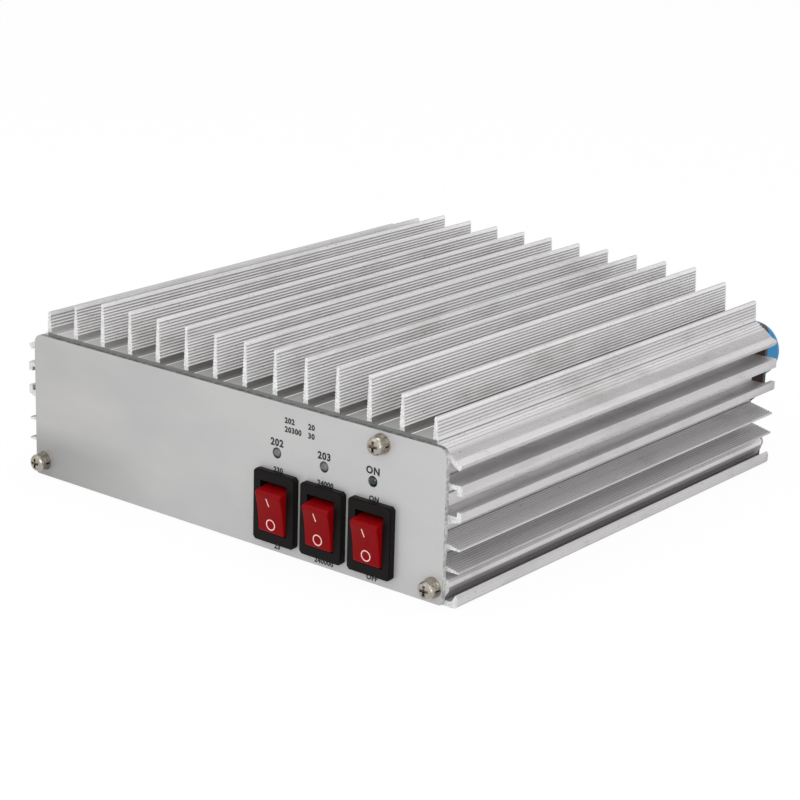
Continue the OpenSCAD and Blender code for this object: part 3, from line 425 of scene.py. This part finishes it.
def finishes(colours):
    """Every finish of the amplifier, by the name of the record's material slot."""
    return {
        "extruded_aluminium": extruded_aluminium(colours),
        "front_plate": front_plate_finish(colours),
        "rear_plate": rear_plate_finish(),
        "nickel_plate": nickel_plate(colours),
        # Nylon for the housings: near black with the fine grain of a spark-eroded mould
        "black_plastic": grained(
            "Black nylon, grained mould", linear("#0C0908"), 0.5, 0.5, 0.012,
            Specular_IOR_Level=0.12,
        ),
        # Polycarbonate rockers: deep red, satin mould, a clean soft highlight
        "red_rocker": grained(
            "Red polycarbonate, satin mould", colours.rocker, 0.34, 1.6, 0.003, dark=0.93,
            Specular_IOR_Level=0.06,
        ),
        # White polycarbonate moulded into the rocker for its line and ring
        "rocker_mark": grained(
            "White polycarbonate inlay", linear("#E6BDB9"), 0.4, 0.6, 0.002, dark=0.96
        ),
        # Screen printed epoxy ink: flat and nearly black, a little thin in places
        "ink": grained("Screen printed ink", colours.ink, 0.6, 0.35, 0.004, dark=0.7),
        # Tinned brass: pale, soft lustre
        "tinned_brass": grained(
            "Tinned brass", linear("#CFC6AE"), 0.34, 0.5, 0.01, dark=0.85, Metallic=1.0
        ),
        # Water clear epoxy lens over a grey lead frame: pale grey with a glossy dome
        "clear_lamp": grained(
            "Clear epoxy lamp", linear("#6F7170"), 0.14, 1.1, 0.0, dark=0.6, IOR=1.45,
            Transmission_Weight=0.25,
        ),
        # Green tinted epoxy, unlit: a dark bottle green
        "green_lamp": grained(
            "Green epoxy lamp, unlit", linear("#12301F"), 0.12, 1.1, 0.0, dark=0.45, IOR=1.53,
            Transmission_Weight=0.2,
        ),
        # Plasticised vinyl, dipped: bright blue, soft sheen, light scatters a little inside it
        "blue_cap": grained(
            "Dipped blue vinyl", colours.cap, 0.38, 3.0, 0.02, dark=0.94, Specular_IOR_Level=0.2,
            Subsurface_Weight=0.12, Subsurface_Scale=0.002,
        ),
        # Chloroprene rubber: flat black with a dusty bloom
        "black_rubber": grained("Chloroprene rubber", linear("#232323"), 0.68, 0.8, 0.02, dark=0.8),
        # Cotton white PTFE: waxy and smooth
        "white_insulator": grained(
            "White PTFE, turned", linear("#E9E7E0"), 0.45, 0.8, 0.006, dark=0.95
        ),
        # PVC sleeving on the leads: smooth and slightly waxy
        "lead_insulation": grained("PVC sleeving", linear("#B5251C"), 0.4, 2.0, 0.006, dark=0.9),
        "wire_white": grained(
            "PVC sleeving, natural", linear("#D8D5CC"), 0.4, 2.0, 0.006, dark=0.92
        ),
        # Glass epoxy laminate under green lacquer: the weave shows as a 0.5 mm mottle
        "board_laminate": grained(
            "Lacquered glass epoxy laminate", linear("#1F6A43"), 0.35, 0.5, 0.01, dark=0.8,
            Coat_Weight=0.3,
        ),
        # Gold flash over a copper tungsten flange
        "transistor_metal": grained(
            "Gold flashed flange", linear("#D9B25F"), 0.28, 0.7, 0.006, dark=0.88, Metallic=1.0
        ),
        # Glass filled PBT case: orange, slightly rough
        "relay_case": grained("Orange PBT case", linear("#C8641E"), 0.45, 0.7, 0.01, dark=0.92),
        # Shrunk PET sleeve of a can capacitor: dark blue, glossy
        "capacitor_sleeve": grained(
            "Shrunk PET sleeve", linear("#16233F"), 0.22, 4.0, 0.01, dark=0.9
        ),
        # Mica capacitor, dipped in brown resin and dulled by flux
        "mica_case": grained("Dipped mica capacitor", linear("#8A5234"), 0.5, 0.8, 0.02, dark=0.8),
        # Sintered ferrite: dark grey, dry, with fine pores
        "ferrite": grained("Sintered ferrite", linear("#2F2F33"), 0.6, 0.4, 0.02, dark=0.75),
    }


# Shapes


def set_finish(name, material, edge_mm=0.0):
    """Gives a CAD node its finish and, with edge_mm, the rounded edges that the real part has."""
    part = frame["nodes"][name]
    for slot in part.material_slots:
        slot.material = material
    if edge_mm:
        same_point_m, same_plane, corner = 1e-6, math.radians(0.5), math.radians(40)
        steps = (
            ("Join the points", "WELD", {"merge_threshold": same_point_m}),
            (
                "Join the flat faces", "DECIMATE",
                {"decimate_type": "DISSOLVE", "angle_limit": same_plane},
            ),
            (
                "Rounded edges", "BEVEL",
                {
                    "width": edge_mm * MM, "segments": 2, "use_clamp_overlap": True,
                    "limit_method": "ANGLE", "angle_limit": corner,
                },
            ),
            ("Even shading", "WEIGHTED_NORMAL", {"keep_sharp": True, "weight": 80}),
        )
        for title, kind, settings in steps:
            modifier = part.modifiers.new(title, kind)
            for key, value in settings.items():
                setattr(modifier, key, value)
        for polygon in part.data.polygons:
            polygon.use_smooth = True


def new_piece(name, mesh, body, material):
    """A piece of the scene's own that rides on a body and takes its finish from a slot."""
    piece = bpy.data.objects.new(name, mesh)
    bpy.context.scene.collection.objects.link(piece)
    mesh.materials.clear()
    mesh.materials.append(material)
    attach(piece, body)
    return piece


def band(solid, near, far):
    """Faces between two closed rings of as many points."""
    for here in range(len(near)):
        after = (here + 1) % len(near)
        solid.faces.new((near[here], near[after], far[after], far[here]))


def mesh_of(name, solid):
    """The mesh of a finished solid, with its faces turned outwards."""
    bmesh.ops.recalc_face_normals(solid, faces=solid.faces)
    mesh = bpy.data.meshes.new(name)
    solid.to_mesh(mesh)
    solid.free()
    return mesh


def prism(name, outer, inner, place, thickness):
    """A thin closed prism between an outer outline and an optional inner one.

    place turns an outline's two values and a height into a point of the part.
    """
    solid = bmesh.new()
    walls = [
        [[solid.verts.new(place(x, z, height)) for x, z in outline] for height in (0, thickness)]
        for outline in (outer, inner)
        if outline
    ]
    for low, high in walls:
        band(solid, low, high)
    if inner:
        for outer_ring, inner_ring in zip(*walls):
            band(solid, outer_ring, inner_ring)
    else:
        for ring in walls[0]:
            solid.faces.new(ring)
    return mesh_of(name, solid)


def circle(radius, steps, centre=(0, 0)):
    """Points of a closed circle, anticlockwise."""
    x, y = centre
    turns = [2 * math.pi * k / steps for k in range(steps)]
    return [(x + radius * math.cos(turn), y + radius * math.sin(turn)) for turn in turns]


def bend(start, corner, end, steps):
    """Points of a smooth bend from start to end that is drawn towards a corner."""
    shares = [k / steps for k in range(steps + 1)]
    return [start * (1 - t) ** 2 + corner * 2 * t * (1 - t) + end * t * t for t in shares]


def drawn_in(outline, distance):
    """A closed outline, taken anticlockwise, with each side moved inwards by a distance."""
    # A corner moves by no more than twice the distance, however sharp it is
    least_share = 0.5
    points = []
    count = len(outline)
    for k, point in enumerate(outline):
        before = (point - outline[k - 1]).normalized()
        after = (outline[(k + 1) % count] - point).normalized()
        inward = Vector((-before.y - after.y, before.x + after.x)).normalized()
        share = max(inward.dot(Vector((-before.y, before.x))), least_share)
        points.append(point + inward * distance / share)
    return points


def rounded_bar(width, height, steps=6):
    """Outline of an upright bar with round ends, round its own middle."""
    radius = width / 2
    points = []
    for end, start in ((1, 0), (-1, math.pi)):
        middle = end * (height / 2 - radius)
        for k in range(steps + 1):
            turn = start + math.pi * k / steps
            points.append((radius * math.cos(turn), middle + radius * math.sin(turn)))
    return points


def printed_text(name, text, x, z, height, material, bold):
    """Words printed on the front plate, their foot at z and their middle at x in millimetres.

    height is the size that a user set for them, and bold thickens their strokes, in millimetres.
    """
    curve = bpy.data.curves.new(name, "FONT")
    curve.body = text
    curve.align_x = "CENTER"
    curve.space_character = 1.12
    curve.size = height / CAP_SHARE
    curve.extrude = INK_THICKNESS * MM / 2
    curve.offset = bold * MM
    curve.resolution_u = 3
    words = bpy.data.objects.new(name, curve)
    bpy.context.scene.collection.objects.link(words)
    bpy.context.view_layer.update()
    shaped = words.evaluated_get(bpy.context.evaluated_depsgraph_get())
    mesh = bpy.data.meshes.new_from_object(shaped)
    bpy.data.objects.remove(words)
    on_plate = Matrix.Translation((x * MM, FACE_Y - INK_THICKNESS * MM / 2, z * MM))
    mesh.transform(on_plate @ Matrix.Rotation(math.pi / 2, 4, "X"))
    mesh.name = name
    return new_piece(name, mesh, "case", material)


# Settings


class AmplifierSizes(PropertyGroup):
    """Sizes that the solids leave open, in Blender's metres."""

    rocker_edge: FloatProperty(
        name="Rocker lips", description="How far the lips of a rocker are rounded off",
        default=1 * MM, min=0.2 * MM, max=1.1 * MM, unit="LENGTH",
    )
    rocker_side: FloatProperty(
        name="Rocker sides", description="Radius along the sides of a rocker's face",
        default=0.4 * MM, min=0.1 * MM, max=1 * MM, unit="LENGTH",
    )
    ring_diameter: FloatProperty(
        name="Ring", description="Outer diameter of the ring on a rocker",
        default=3.3 * MM, min=2 * MM, max=4 * MM, unit="LENGTH",
    )
    mark_width: FloatProperty(
        name="Mark width", description="Width of the line and of the ring's stroke",
        default=0.33 * MM, min=0.2 * MM, max=0.8 * MM, unit="LENGTH",
    )
    lamp_text: FloatProperty(
        name="Lamp text", description="Height of the marks over the lamps",
        default=2.1 * MM, min=1 * MM, max=3 * MM, unit="LENGTH",
    )
    legend_text: FloatProperty(
        name="Legend text", description="Height of the two rows over the lamps",
        default=1.6 * MM, min=1 * MM, max=2 * MM, unit="LENGTH",
    )
    small_text: FloatProperty(
        name="Small text", description="Height of the marks at the bezels",
        default=1.5 * MM, min=1 * MM, max=2 * MM, unit="LENGTH",
    )


class AmplifierColours(PropertyGroup):
    """Colours that a user would change."""

    extrusion: FloatVectorProperty(
        name="Extrusion", description="Bare aluminium",
        subtype="COLOR", default=linear("#EEEDEE")[:3],
    )
    front_plate: FloatVectorProperty(
        name="Front plate", description="Blasted and coated sheet",
        subtype="COLOR", default=linear("#B3B3B3")[:3],
    )
    nickel: FloatVectorProperty(
        name="Nickel", description="Plated screws and sockets",
        subtype="COLOR", default=linear("#A9A39A")[:3],
    )
    rocker: FloatVectorProperty(
        name="Rocker", description="Moulded rockers",
        subtype="COLOR", default=linear("#79050A")[:3],
    )
    cap: FloatVectorProperty(
        name="Dust cap", description="Vinyl caps on the sockets",
        subtype="COLOR", default=linear("#1476A8")[:3],
    )
    ink: FloatVectorProperty(
        name="Ink", description="Printed marks",
        subtype="COLOR", default=linear("#141924")[:3],
    )


MADE = {}


def finish_for(slot):
    """The finish of a slot. All of them are made at the first call."""
    if not MADE:
        MADE.update(finishes(bpy.context.scene.amplifier_colours))
    return MADE[slot]


# Studio


class AMPLIFIER_OT_stage(Operator):
    """Make the camera, the lamps, the world and the pale floor"""

    bl_idname = "amplifier.stage"
    bl_label = "Studio"

    # Camera: place in metres from the front plate's foot, angles in radians. It turns to the left
    # by yaw, looks down by pitch and leans by roll
    place = (0.419512, -0.456087, 0.237742)
    yaw, pitch, roll = 0.664942, 0.306542, 0.030743
    focal_px, frame_px, sensor_mm = 2313.166, 800, 36
    nearest, farthest = 0.01, 20

    # Each lamp: name, place, size, watts, colour. All of them face the middle of the part
    aim = Vector((0, 0, 0.03))
    lamps = (
        ("Left lamp", (-0.65, -1.15, 1.05), 0.9, 3.3, "#FFFFFF"),
        ("Right lamp", (0.55, -0.85, 0.45), 0.6, 4.3, "#FFFDFA"),
        ("Top lamp", (0.0, 0.1, 1.5), 1.0, 10.0, "#FFFFFF"),
        ("Low side lamp", (1.0, -0.35, 0.14), 0.4, 1.7, "#FFFFFF"),
    )
    # The light that the room gives, and the floor: half its width and how far it lies under the
    # part, in metres, its colour, and how much of it the camera sees as white
    room_colour, room_light = "#F4F3F3", 0.8
    floor_reach, floor_drop, floor_colour, floor_glow = 3.0, 0.0002, "#E4E4E4", 0.95

    def execute(self, context):
        scene = context.scene
        scene.view_settings.view_transform = "Standard"
        self.camera(scene)
        self.light(scene)
        self.world(scene)
        self.floor(scene)
        return {"FINISHED"}

    def camera(self, scene):
        data = bpy.data.cameras.new("Camera")
        data.sensor_width = self.sensor_mm
        data.lens = self.focal_px / self.frame_px * self.sensor_mm
        data.clip_start, data.clip_end = self.nearest, self.farthest
        camera = bpy.data.objects.new("Camera", data)
        camera.matrix_world = (
            Matrix.Translation(Vector(self.place) + Vector((0, FACE_Y, 0)))
            @ Matrix.Rotation(self.yaw, 4, "Z")
            @ Matrix.Rotation(math.pi / 2 - self.pitch, 4, "X")
            @ Matrix.Rotation(self.roll, 4, "Z")
        )
        scene.collection.objects.link(camera)
        scene.camera = camera

    def light(self, scene):
        for name, spot, size, watts, colour in self.lamps:
            light = bpy.data.lights.new(name, "AREA")
            light.size = size
            light.energy = watts
            light.color = linear(colour)[:3]
            lamp = bpy.data.objects.new(name, light)
            lamp.location = spot
            lamp.rotation_euler = (self.aim - Vector(spot)).to_track_quat("-Z", "Y").to_euler()
            scene.collection.objects.link(lamp)

    def world(self, scene):
        world = bpy.data.worlds.new("White room")
        scene.world = world
        world.use_nodes = True
        world.node_tree.nodes.clear()
        node = partial(add_node, world.node_tree)
        room = node("Background", {"Color": linear(self.room_colour), "Strength": self.room_light})
        white = node("Background", {"Color": WHITE, "Strength": 1.0})
        node("OutputWorld", {"Surface": node("MixShader", (seen_directly(node), room, white))})

    def floor(self, scene):
        mesh = bpy.data.meshes.new("Floor")
        reach = self.floor_reach
        corners = [(-reach, -reach, 0), (reach, -reach, 0), (reach, reach, 0), (-reach, reach, 0)]
        mesh.from_pydata(corners, [], [(0, 1, 2, 3)])
        floor = bpy.data.objects.new("Floor", mesh)
        floor.location.z = -self.floor_drop
        scene.collection.objects.link(floor)
        material = bpy.data.materials.new("White paper sweep")
        material.use_nodes = True
        material.node_tree.nodes.clear()
        node = partial(add_node, material.node_tree)
        # Paper that takes the object's shadow, lifted to white where the camera looks at it
        paper = node("BsdfDiffuse", {"Color": linear(self.floor_colour)})
        glow = node("Emission", {"Color": WHITE, "Strength": 1.0})
        lifted = overlap(node, seen_directly(node), self.floor_glow)
        node("OutputMaterial", {"Surface": node("MixShader", (lifted, paper, glow))})
        mesh.materials.append(material)


def seen_directly(node):
    """1 for rays from the camera and for those that metal and glass send back, else 0."""
    seen = node("LightPath", out="Is Camera Ray")
    for kind in ("Is Glossy Ray", "Is Transmission Ray"):
        seen = node("Math", (seen, node("LightPath", out=kind)), operation="MAXIMUM")
    return seen


# Pieces


class AMPLIFIER_OT_extrusions(Operator):
    """Finish the heat sink and the tray as bare extruded aluminium"""

    bl_idname = "amplifier.extrusions"
    bl_label = "Extrusions"

    def execute(self, context):
        for name in ("heatsink", "bottom_tray"):
            set_finish(name, finish_for("extruded_aluminium"))
        return {"FINISHED"}


class AMPLIFIER_OT_end_plates(Operator):
    """Finish the front and rear plates"""

    bl_idname = "amplifier.end_plates"
    bl_label = "End plates"

    def execute(self, context):
        set_finish("front_panel", finish_for("front_plate"))
        set_finish("rear_panel", finish_for("rear_plate"))
        return {"FINISHED"}


class AMPLIFIER_OT_fasteners(Operator):
    """Plate the screws, washers and spacers"""

    bl_idname = "amplifier.fasteners"
    bl_label = "Fasteners"

    def execute(self, context):
        for end in ("front", "rear"):
            for kind in ("panel_screws", "spring_washers", "flat_washers"):
                set_finish(f"{end}_{kind}", finish_for("nickel_plate"))
        for name in ("board_screws", "board_spacers", "transistor_screws", "regulator_screw"):
            set_finish(name, finish_for("nickel_plate"))
        return {"FINISHED"}


class AMPLIFIER_OT_switches(Operator):
    """Finish the switch housings, their blades and the wires behind them"""

    bl_idname = "amplifier.switches"
    bl_label = "Switches"

    def execute(self, context):
        for switch in SWITCHES:
            set_finish(f"{switch}_switch_housing", finish_for("black_plastic"))
            set_finish(f"{switch}_switch_terminals", finish_for("tinned_brass"))
            wire = "lead_insulation" if switch == "power" else "wire_white"
            set_finish(f"{switch}_switch_wires", finish_for(wire))
        return {"FINISHED"}


class AMPLIFIER_OT_rockers(Operator):
    """Mould the rockers with rounded edges and inlay their line and ring"""

    bl_idname = "amplifier.rockers"
    bl_label = "Rockers"

    # The rocker in its own frame, in millimetres, facing -Y from its pivot: width, reach and
    # height of its face, depth of the dish, how far its ends fall back and stand up, and reach and
    # height of its back
    width, reach, height, dish = 9.2, 7.0, 12.4, 0.45
    end_in, end_up, back, back_height = 1.2, 0.2, 1.6, 11.2
    # Its lean at rest, where it is pressed at the foot
    tilt_deg = 9
    pin_radius, pin_half = 1.0, 5.7
    dish_steps, edge_steps, circle_steps = 16, 5, 48
    # Middle of the line and of the ring, to the right of and above the pivot
    line_at, line_length, line_lean_deg, ring_at = (-0.25, 3.4), 2.6, 14, (0.1, -3.45)
    # How far the inlays stand over the face and reach below it
    proud, sunk = 0.03, 0.08

    def face_reach(self, z):
        """How far the dished face stands out from the pivot at a height."""
        share = 2 * z / self.height
        return self.reach - self.dish * (1 - share * share)

    def outline(self, lip):
        """Side view as points (reach, height), anticlockwise, with the face's lips rounded off."""
        top = self.height / 2
        heights = [(top - lip) * (2 * k / self.dish_steps - 1) for k in range(self.dish_steps + 1)]
        dish = [Vector((self.face_reach(z), z)) for z in heights]
        corner = Vector((self.reach, top))
        shoulder = Vector((self.reach - self.end_in, top + self.end_up))
        end = corner + (shoulder - corner).normalized() * lip
        upper = [
            *bend(dish[-1], corner, end, self.edge_steps + 1)[1:],
            shoulder,
            Vector((0, top + self.end_up)),
            Vector((-self.back, self.back_height / 2)),
        ]
        return dish + upper + [Vector((p.x, -p.y)) for p in reversed(upper)]

    def rocker_mesh(self, name, sizes):
        """Rings of the outline from side to side, drawn in more towards the sides."""
        edge, half = sizes.rocker_side / MM, self.width / 2
        outline = self.outline(sizes.rocker_edge / MM)
        solid = bmesh.new()
        rings = []
        for side in (-1, 1):
            steps = range(self.edge_steps + 1)
            for k in steps if side < 0 else reversed(steps):
                turn = math.pi / 2 * k / self.edge_steps
                inward = edge * (1 - math.sin(turn))
                x = side * (half - edge * (1 - math.cos(turn)))
                rings.append([solid.verts.new((x, -p.x, p.y)) for p in drawn_in(outline, inward)])
        for near, far in zip(rings, rings[1:]):
            band(solid, near, far)
        solid.faces.new(rings[0])
        solid.faces.new(rings[-1])
        round_pin = circle(self.pin_radius, self.circle_steps)
        for side in (-1, 1):
            pin = [
                [solid.verts.new((side * x, y, z)) for y, z in round_pin]
                for x in (half - edge, self.pin_half)
            ]
            band(solid, *pin)
            for ring in pin:
                solid.faces.new(ring)
        mesh = mesh_of(name, solid)
        for polygon in mesh.polygons:
            polygon.use_smooth = len(polygon.vertices) == 4
        return mesh

    def on_face(self, at_pivot, across, up, height):
        """A point of the part at a height over the foot of the inlays."""
        return at_pivot @ Vector((across, self.sunk - self.face_reach(up) - height, up))

    def execute(self, context):
        sizes = context.scene.amplifier_sizes
        stroke, ring_radius = sizes.mark_width / MM, sizes.ring_diameter / MM / 2
        lean = Matrix.Rotation(math.radians(self.line_lean_deg), 2)
        bar = rounded_bar(stroke, self.line_length)
        line = [tuple(lean @ Vector(point) + Vector(self.line_at)) for point in bar]
        outer = circle(ring_radius, self.circle_steps, self.ring_at)
        inner = circle(ring_radius - stroke, self.circle_steps, self.ring_at)
        marks = {"line": (line, None), "ring": (outer, inner)}
        tilt = Matrix.Rotation(math.radians(self.tilt_deg), 4, "X")
        pivots = {j["child"]: Vector(j["pos_m"]) for j in frame["joints"] if j["type"] == "hinge"}
        for switch in SWITCHES:
            body = f"{switch}_rocker_body"
            at_pivot = Matrix.Translation(pivots[body]) @ tilt @ Matrix.Scale(MM, 4)
            mesh = self.rocker_mesh(f"{switch}_moulded_rocker", sizes)
            mesh.transform(at_pivot)
            rocker = new_piece(mesh.name, mesh, body, finish_for("red_rocker"))
            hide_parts(f"{switch}_rocker")
            place = partial(self.on_face, at_pivot)
            for mark, outlines in marks.items():
                mesh = prism(f"{switch}_rocker_{mark}", *outlines, place, self.sunk + self.proud)
                new_piece(mesh.name, mesh, body, finish_for("rocker_mark"))
        return {"FINISHED"}


class AMPLIFIER_OT_lamps(Operator):
    """Finish the indicator lamps and the strip of board that holds them"""

    bl_idname = "amplifier.lamps"
    bl_label = "Lamps"

    def execute(self, context):
        for lamp in LAMPS:
            set_finish(lamp, finish_for("green_lamp" if lamp == "power_led" else "clear_lamp"))
        set_finish("led_board", finish_for("board_laminate"))
        set_finish("led_wires", finish_for("wire_white"))
        return {"FINISHED"}


class AMPLIFIER_OT_printing(Operator):
    """Print the numbers and words on the front plate"""

    bl_idname = "amplifier.printing"
    bl_label = "Printed marks"

    # Heights in millimetres of each mark's foot, and how much its strokes are thickened
    lamp_marks, lamp_foot, lamp_bold = ("202", "203", "ON"), 31.6, 0.12
    switch_marks = (("230", "23"), ("24000", "240000"), ("ON", "OFF"))
    switch_feet, small_bold = (23.95, 1.2), 0.1
    # Two rows of plain numbers over the lamps: their foot, and each mark with its middle
    legend = (
        (39.0, (("202", 23.7), ("20", 31.6))),
        (36.45, (("20300", 25.0), ("30", 31.6))),
    )

    def execute(self, context):
        sizes = context.scene.amplifier_sizes
        ink = finish_for("ink")
        for lamp, mark in zip(LAMPS, self.lamp_marks):
            x = box_centre(lamp).x / MM
            size = sizes.lamp_text
            printed_text(f"{lamp}_mark", mark, x, self.lamp_foot, size, ink, self.lamp_bold)
        for switch, marks in zip(SWITCHES, self.switch_marks):
            x = box_centre(f"{switch}_switch_housing").x / MM
            for end, mark, foot in zip(("upper", "lower"), marks, self.switch_feet):
                name = f"{switch}_{end}_mark"
                printed_text(name, mark, x, foot, sizes.small_text, ink, self.small_bold)
        for row, (foot, marks) in enumerate(self.legend, 1):
            for column, (mark, x) in enumerate(marks, 1):
                name = f"legend_{row}_{column}"
                printed_text(name, mark, x, foot, sizes.legend_text, ink, self.small_bold)
        return {"FINISHED"}


class AMPLIFIER_OT_sockets(Operator):
    """Finish the coaxial sockets, their dust caps and the lead's grommet"""

    bl_idname = "amplifier.sockets"
    bl_label = "Sockets and caps"

    def execute(self, context):
        slots = {
            "socket": "nickel_plate",
            "socket_nut": "nickel_plate",
            "socket_insulator": "white_insulator",
            "socket_contact": "tinned_brass",
            "cap": "blue_cap",
        }
        for end in ("input", "output"):
            for kind, slot in slots.items():
                set_finish(f"{end}_{kind}", finish_for(slot))
        set_finish("power_lead_grommet", finish_for("black_rubber"))
        return {"FINISHED"}


class AMPLIFIER_OT_circuit(Operator):
    """Finish the circuit board and what stands on it"""

    bl_idname = "amplifier.circuit"
    bl_label = "Circuit"

    # Each part's slot and, in millimetres, how far its edges are rounded
    parts = {
        "circuit_board": ("board_laminate", 0),
        "vhf_power_transistor": ("transistor_metal", 0),
        "uhf_power_transistor": ("transistor_metal", 0),
        "voltage_regulator": ("black_plastic", 0),
        "input_relay": ("relay_case", 0.4),
        "output_relay": ("relay_case", 0.4),
        "band_relay": ("relay_case", 0.4),
        "electrolytic_capacitors": ("capacitor_sleeve", 0),
        "mica_capacitors": ("mica_case", 0.2),
        "ferrite_rings": ("ferrite", 0),
        "protection_diode": ("black_plastic", 0),
    }

    def execute(self, context):
        for name, (slot, edge) in self.parts.items():
            set_finish(name, finish_for(slot), edge)
        return {"FINISHED"}


class AMPLIFIER_PT_build(Panel):
    """Lists the amplifier's pieces, sizes and colours"""

    bl_idname = "AMPLIFIER_PT_build"
    bl_label = "Radio amplifier"
    bl_space_type = "VIEW_3D"
    bl_region_type = "UI"
    bl_category = "Amplifier"

    def draw(self, context):
        layout = self.layout
        for step in STEPS:
            layout.operator(step.bl_idname)
        for group in (context.scene.amplifier_sizes, context.scene.amplifier_colours):
            box = layout.box()
            for name in group.__annotations__:
                box.prop(group, name)


STEPS = (
    AMPLIFIER_OT_stage,
    AMPLIFIER_OT_extrusions,
    AMPLIFIER_OT_end_plates,
    AMPLIFIER_OT_fasteners,
    AMPLIFIER_OT_switches,
    AMPLIFIER_OT_rockers,
    AMPLIFIER_OT_lamps,
    AMPLIFIER_OT_printing,
    AMPLIFIER_OT_sockets,
    AMPLIFIER_OT_circuit,
)
CLASSES = (AmplifierSizes, AmplifierColours, *STEPS, AMPLIFIER_PT_build)


def register():
    for kind in CLASSES:
        bpy.utils.register_class(kind)
    bpy.types.Scene.amplifier_sizes = PointerProperty(type=AmplifierSizes)
    bpy.types.Scene.amplifier_colours = PointerProperty(type=AmplifierColours)


def unregister():
    del bpy.types.Scene.amplifier_colours
    del bpy.types.Scene.amplifier_sizes
    for kind in reversed(CLASSES):
        bpy.utils.unregister_class(kind)


def main():
    register()
    for step in STEPS:
        group, name = step.bl_idname.split(".")
        getattr(getattr(bpy.ops, group), name)()


if __name__ == "__main__":
    main()
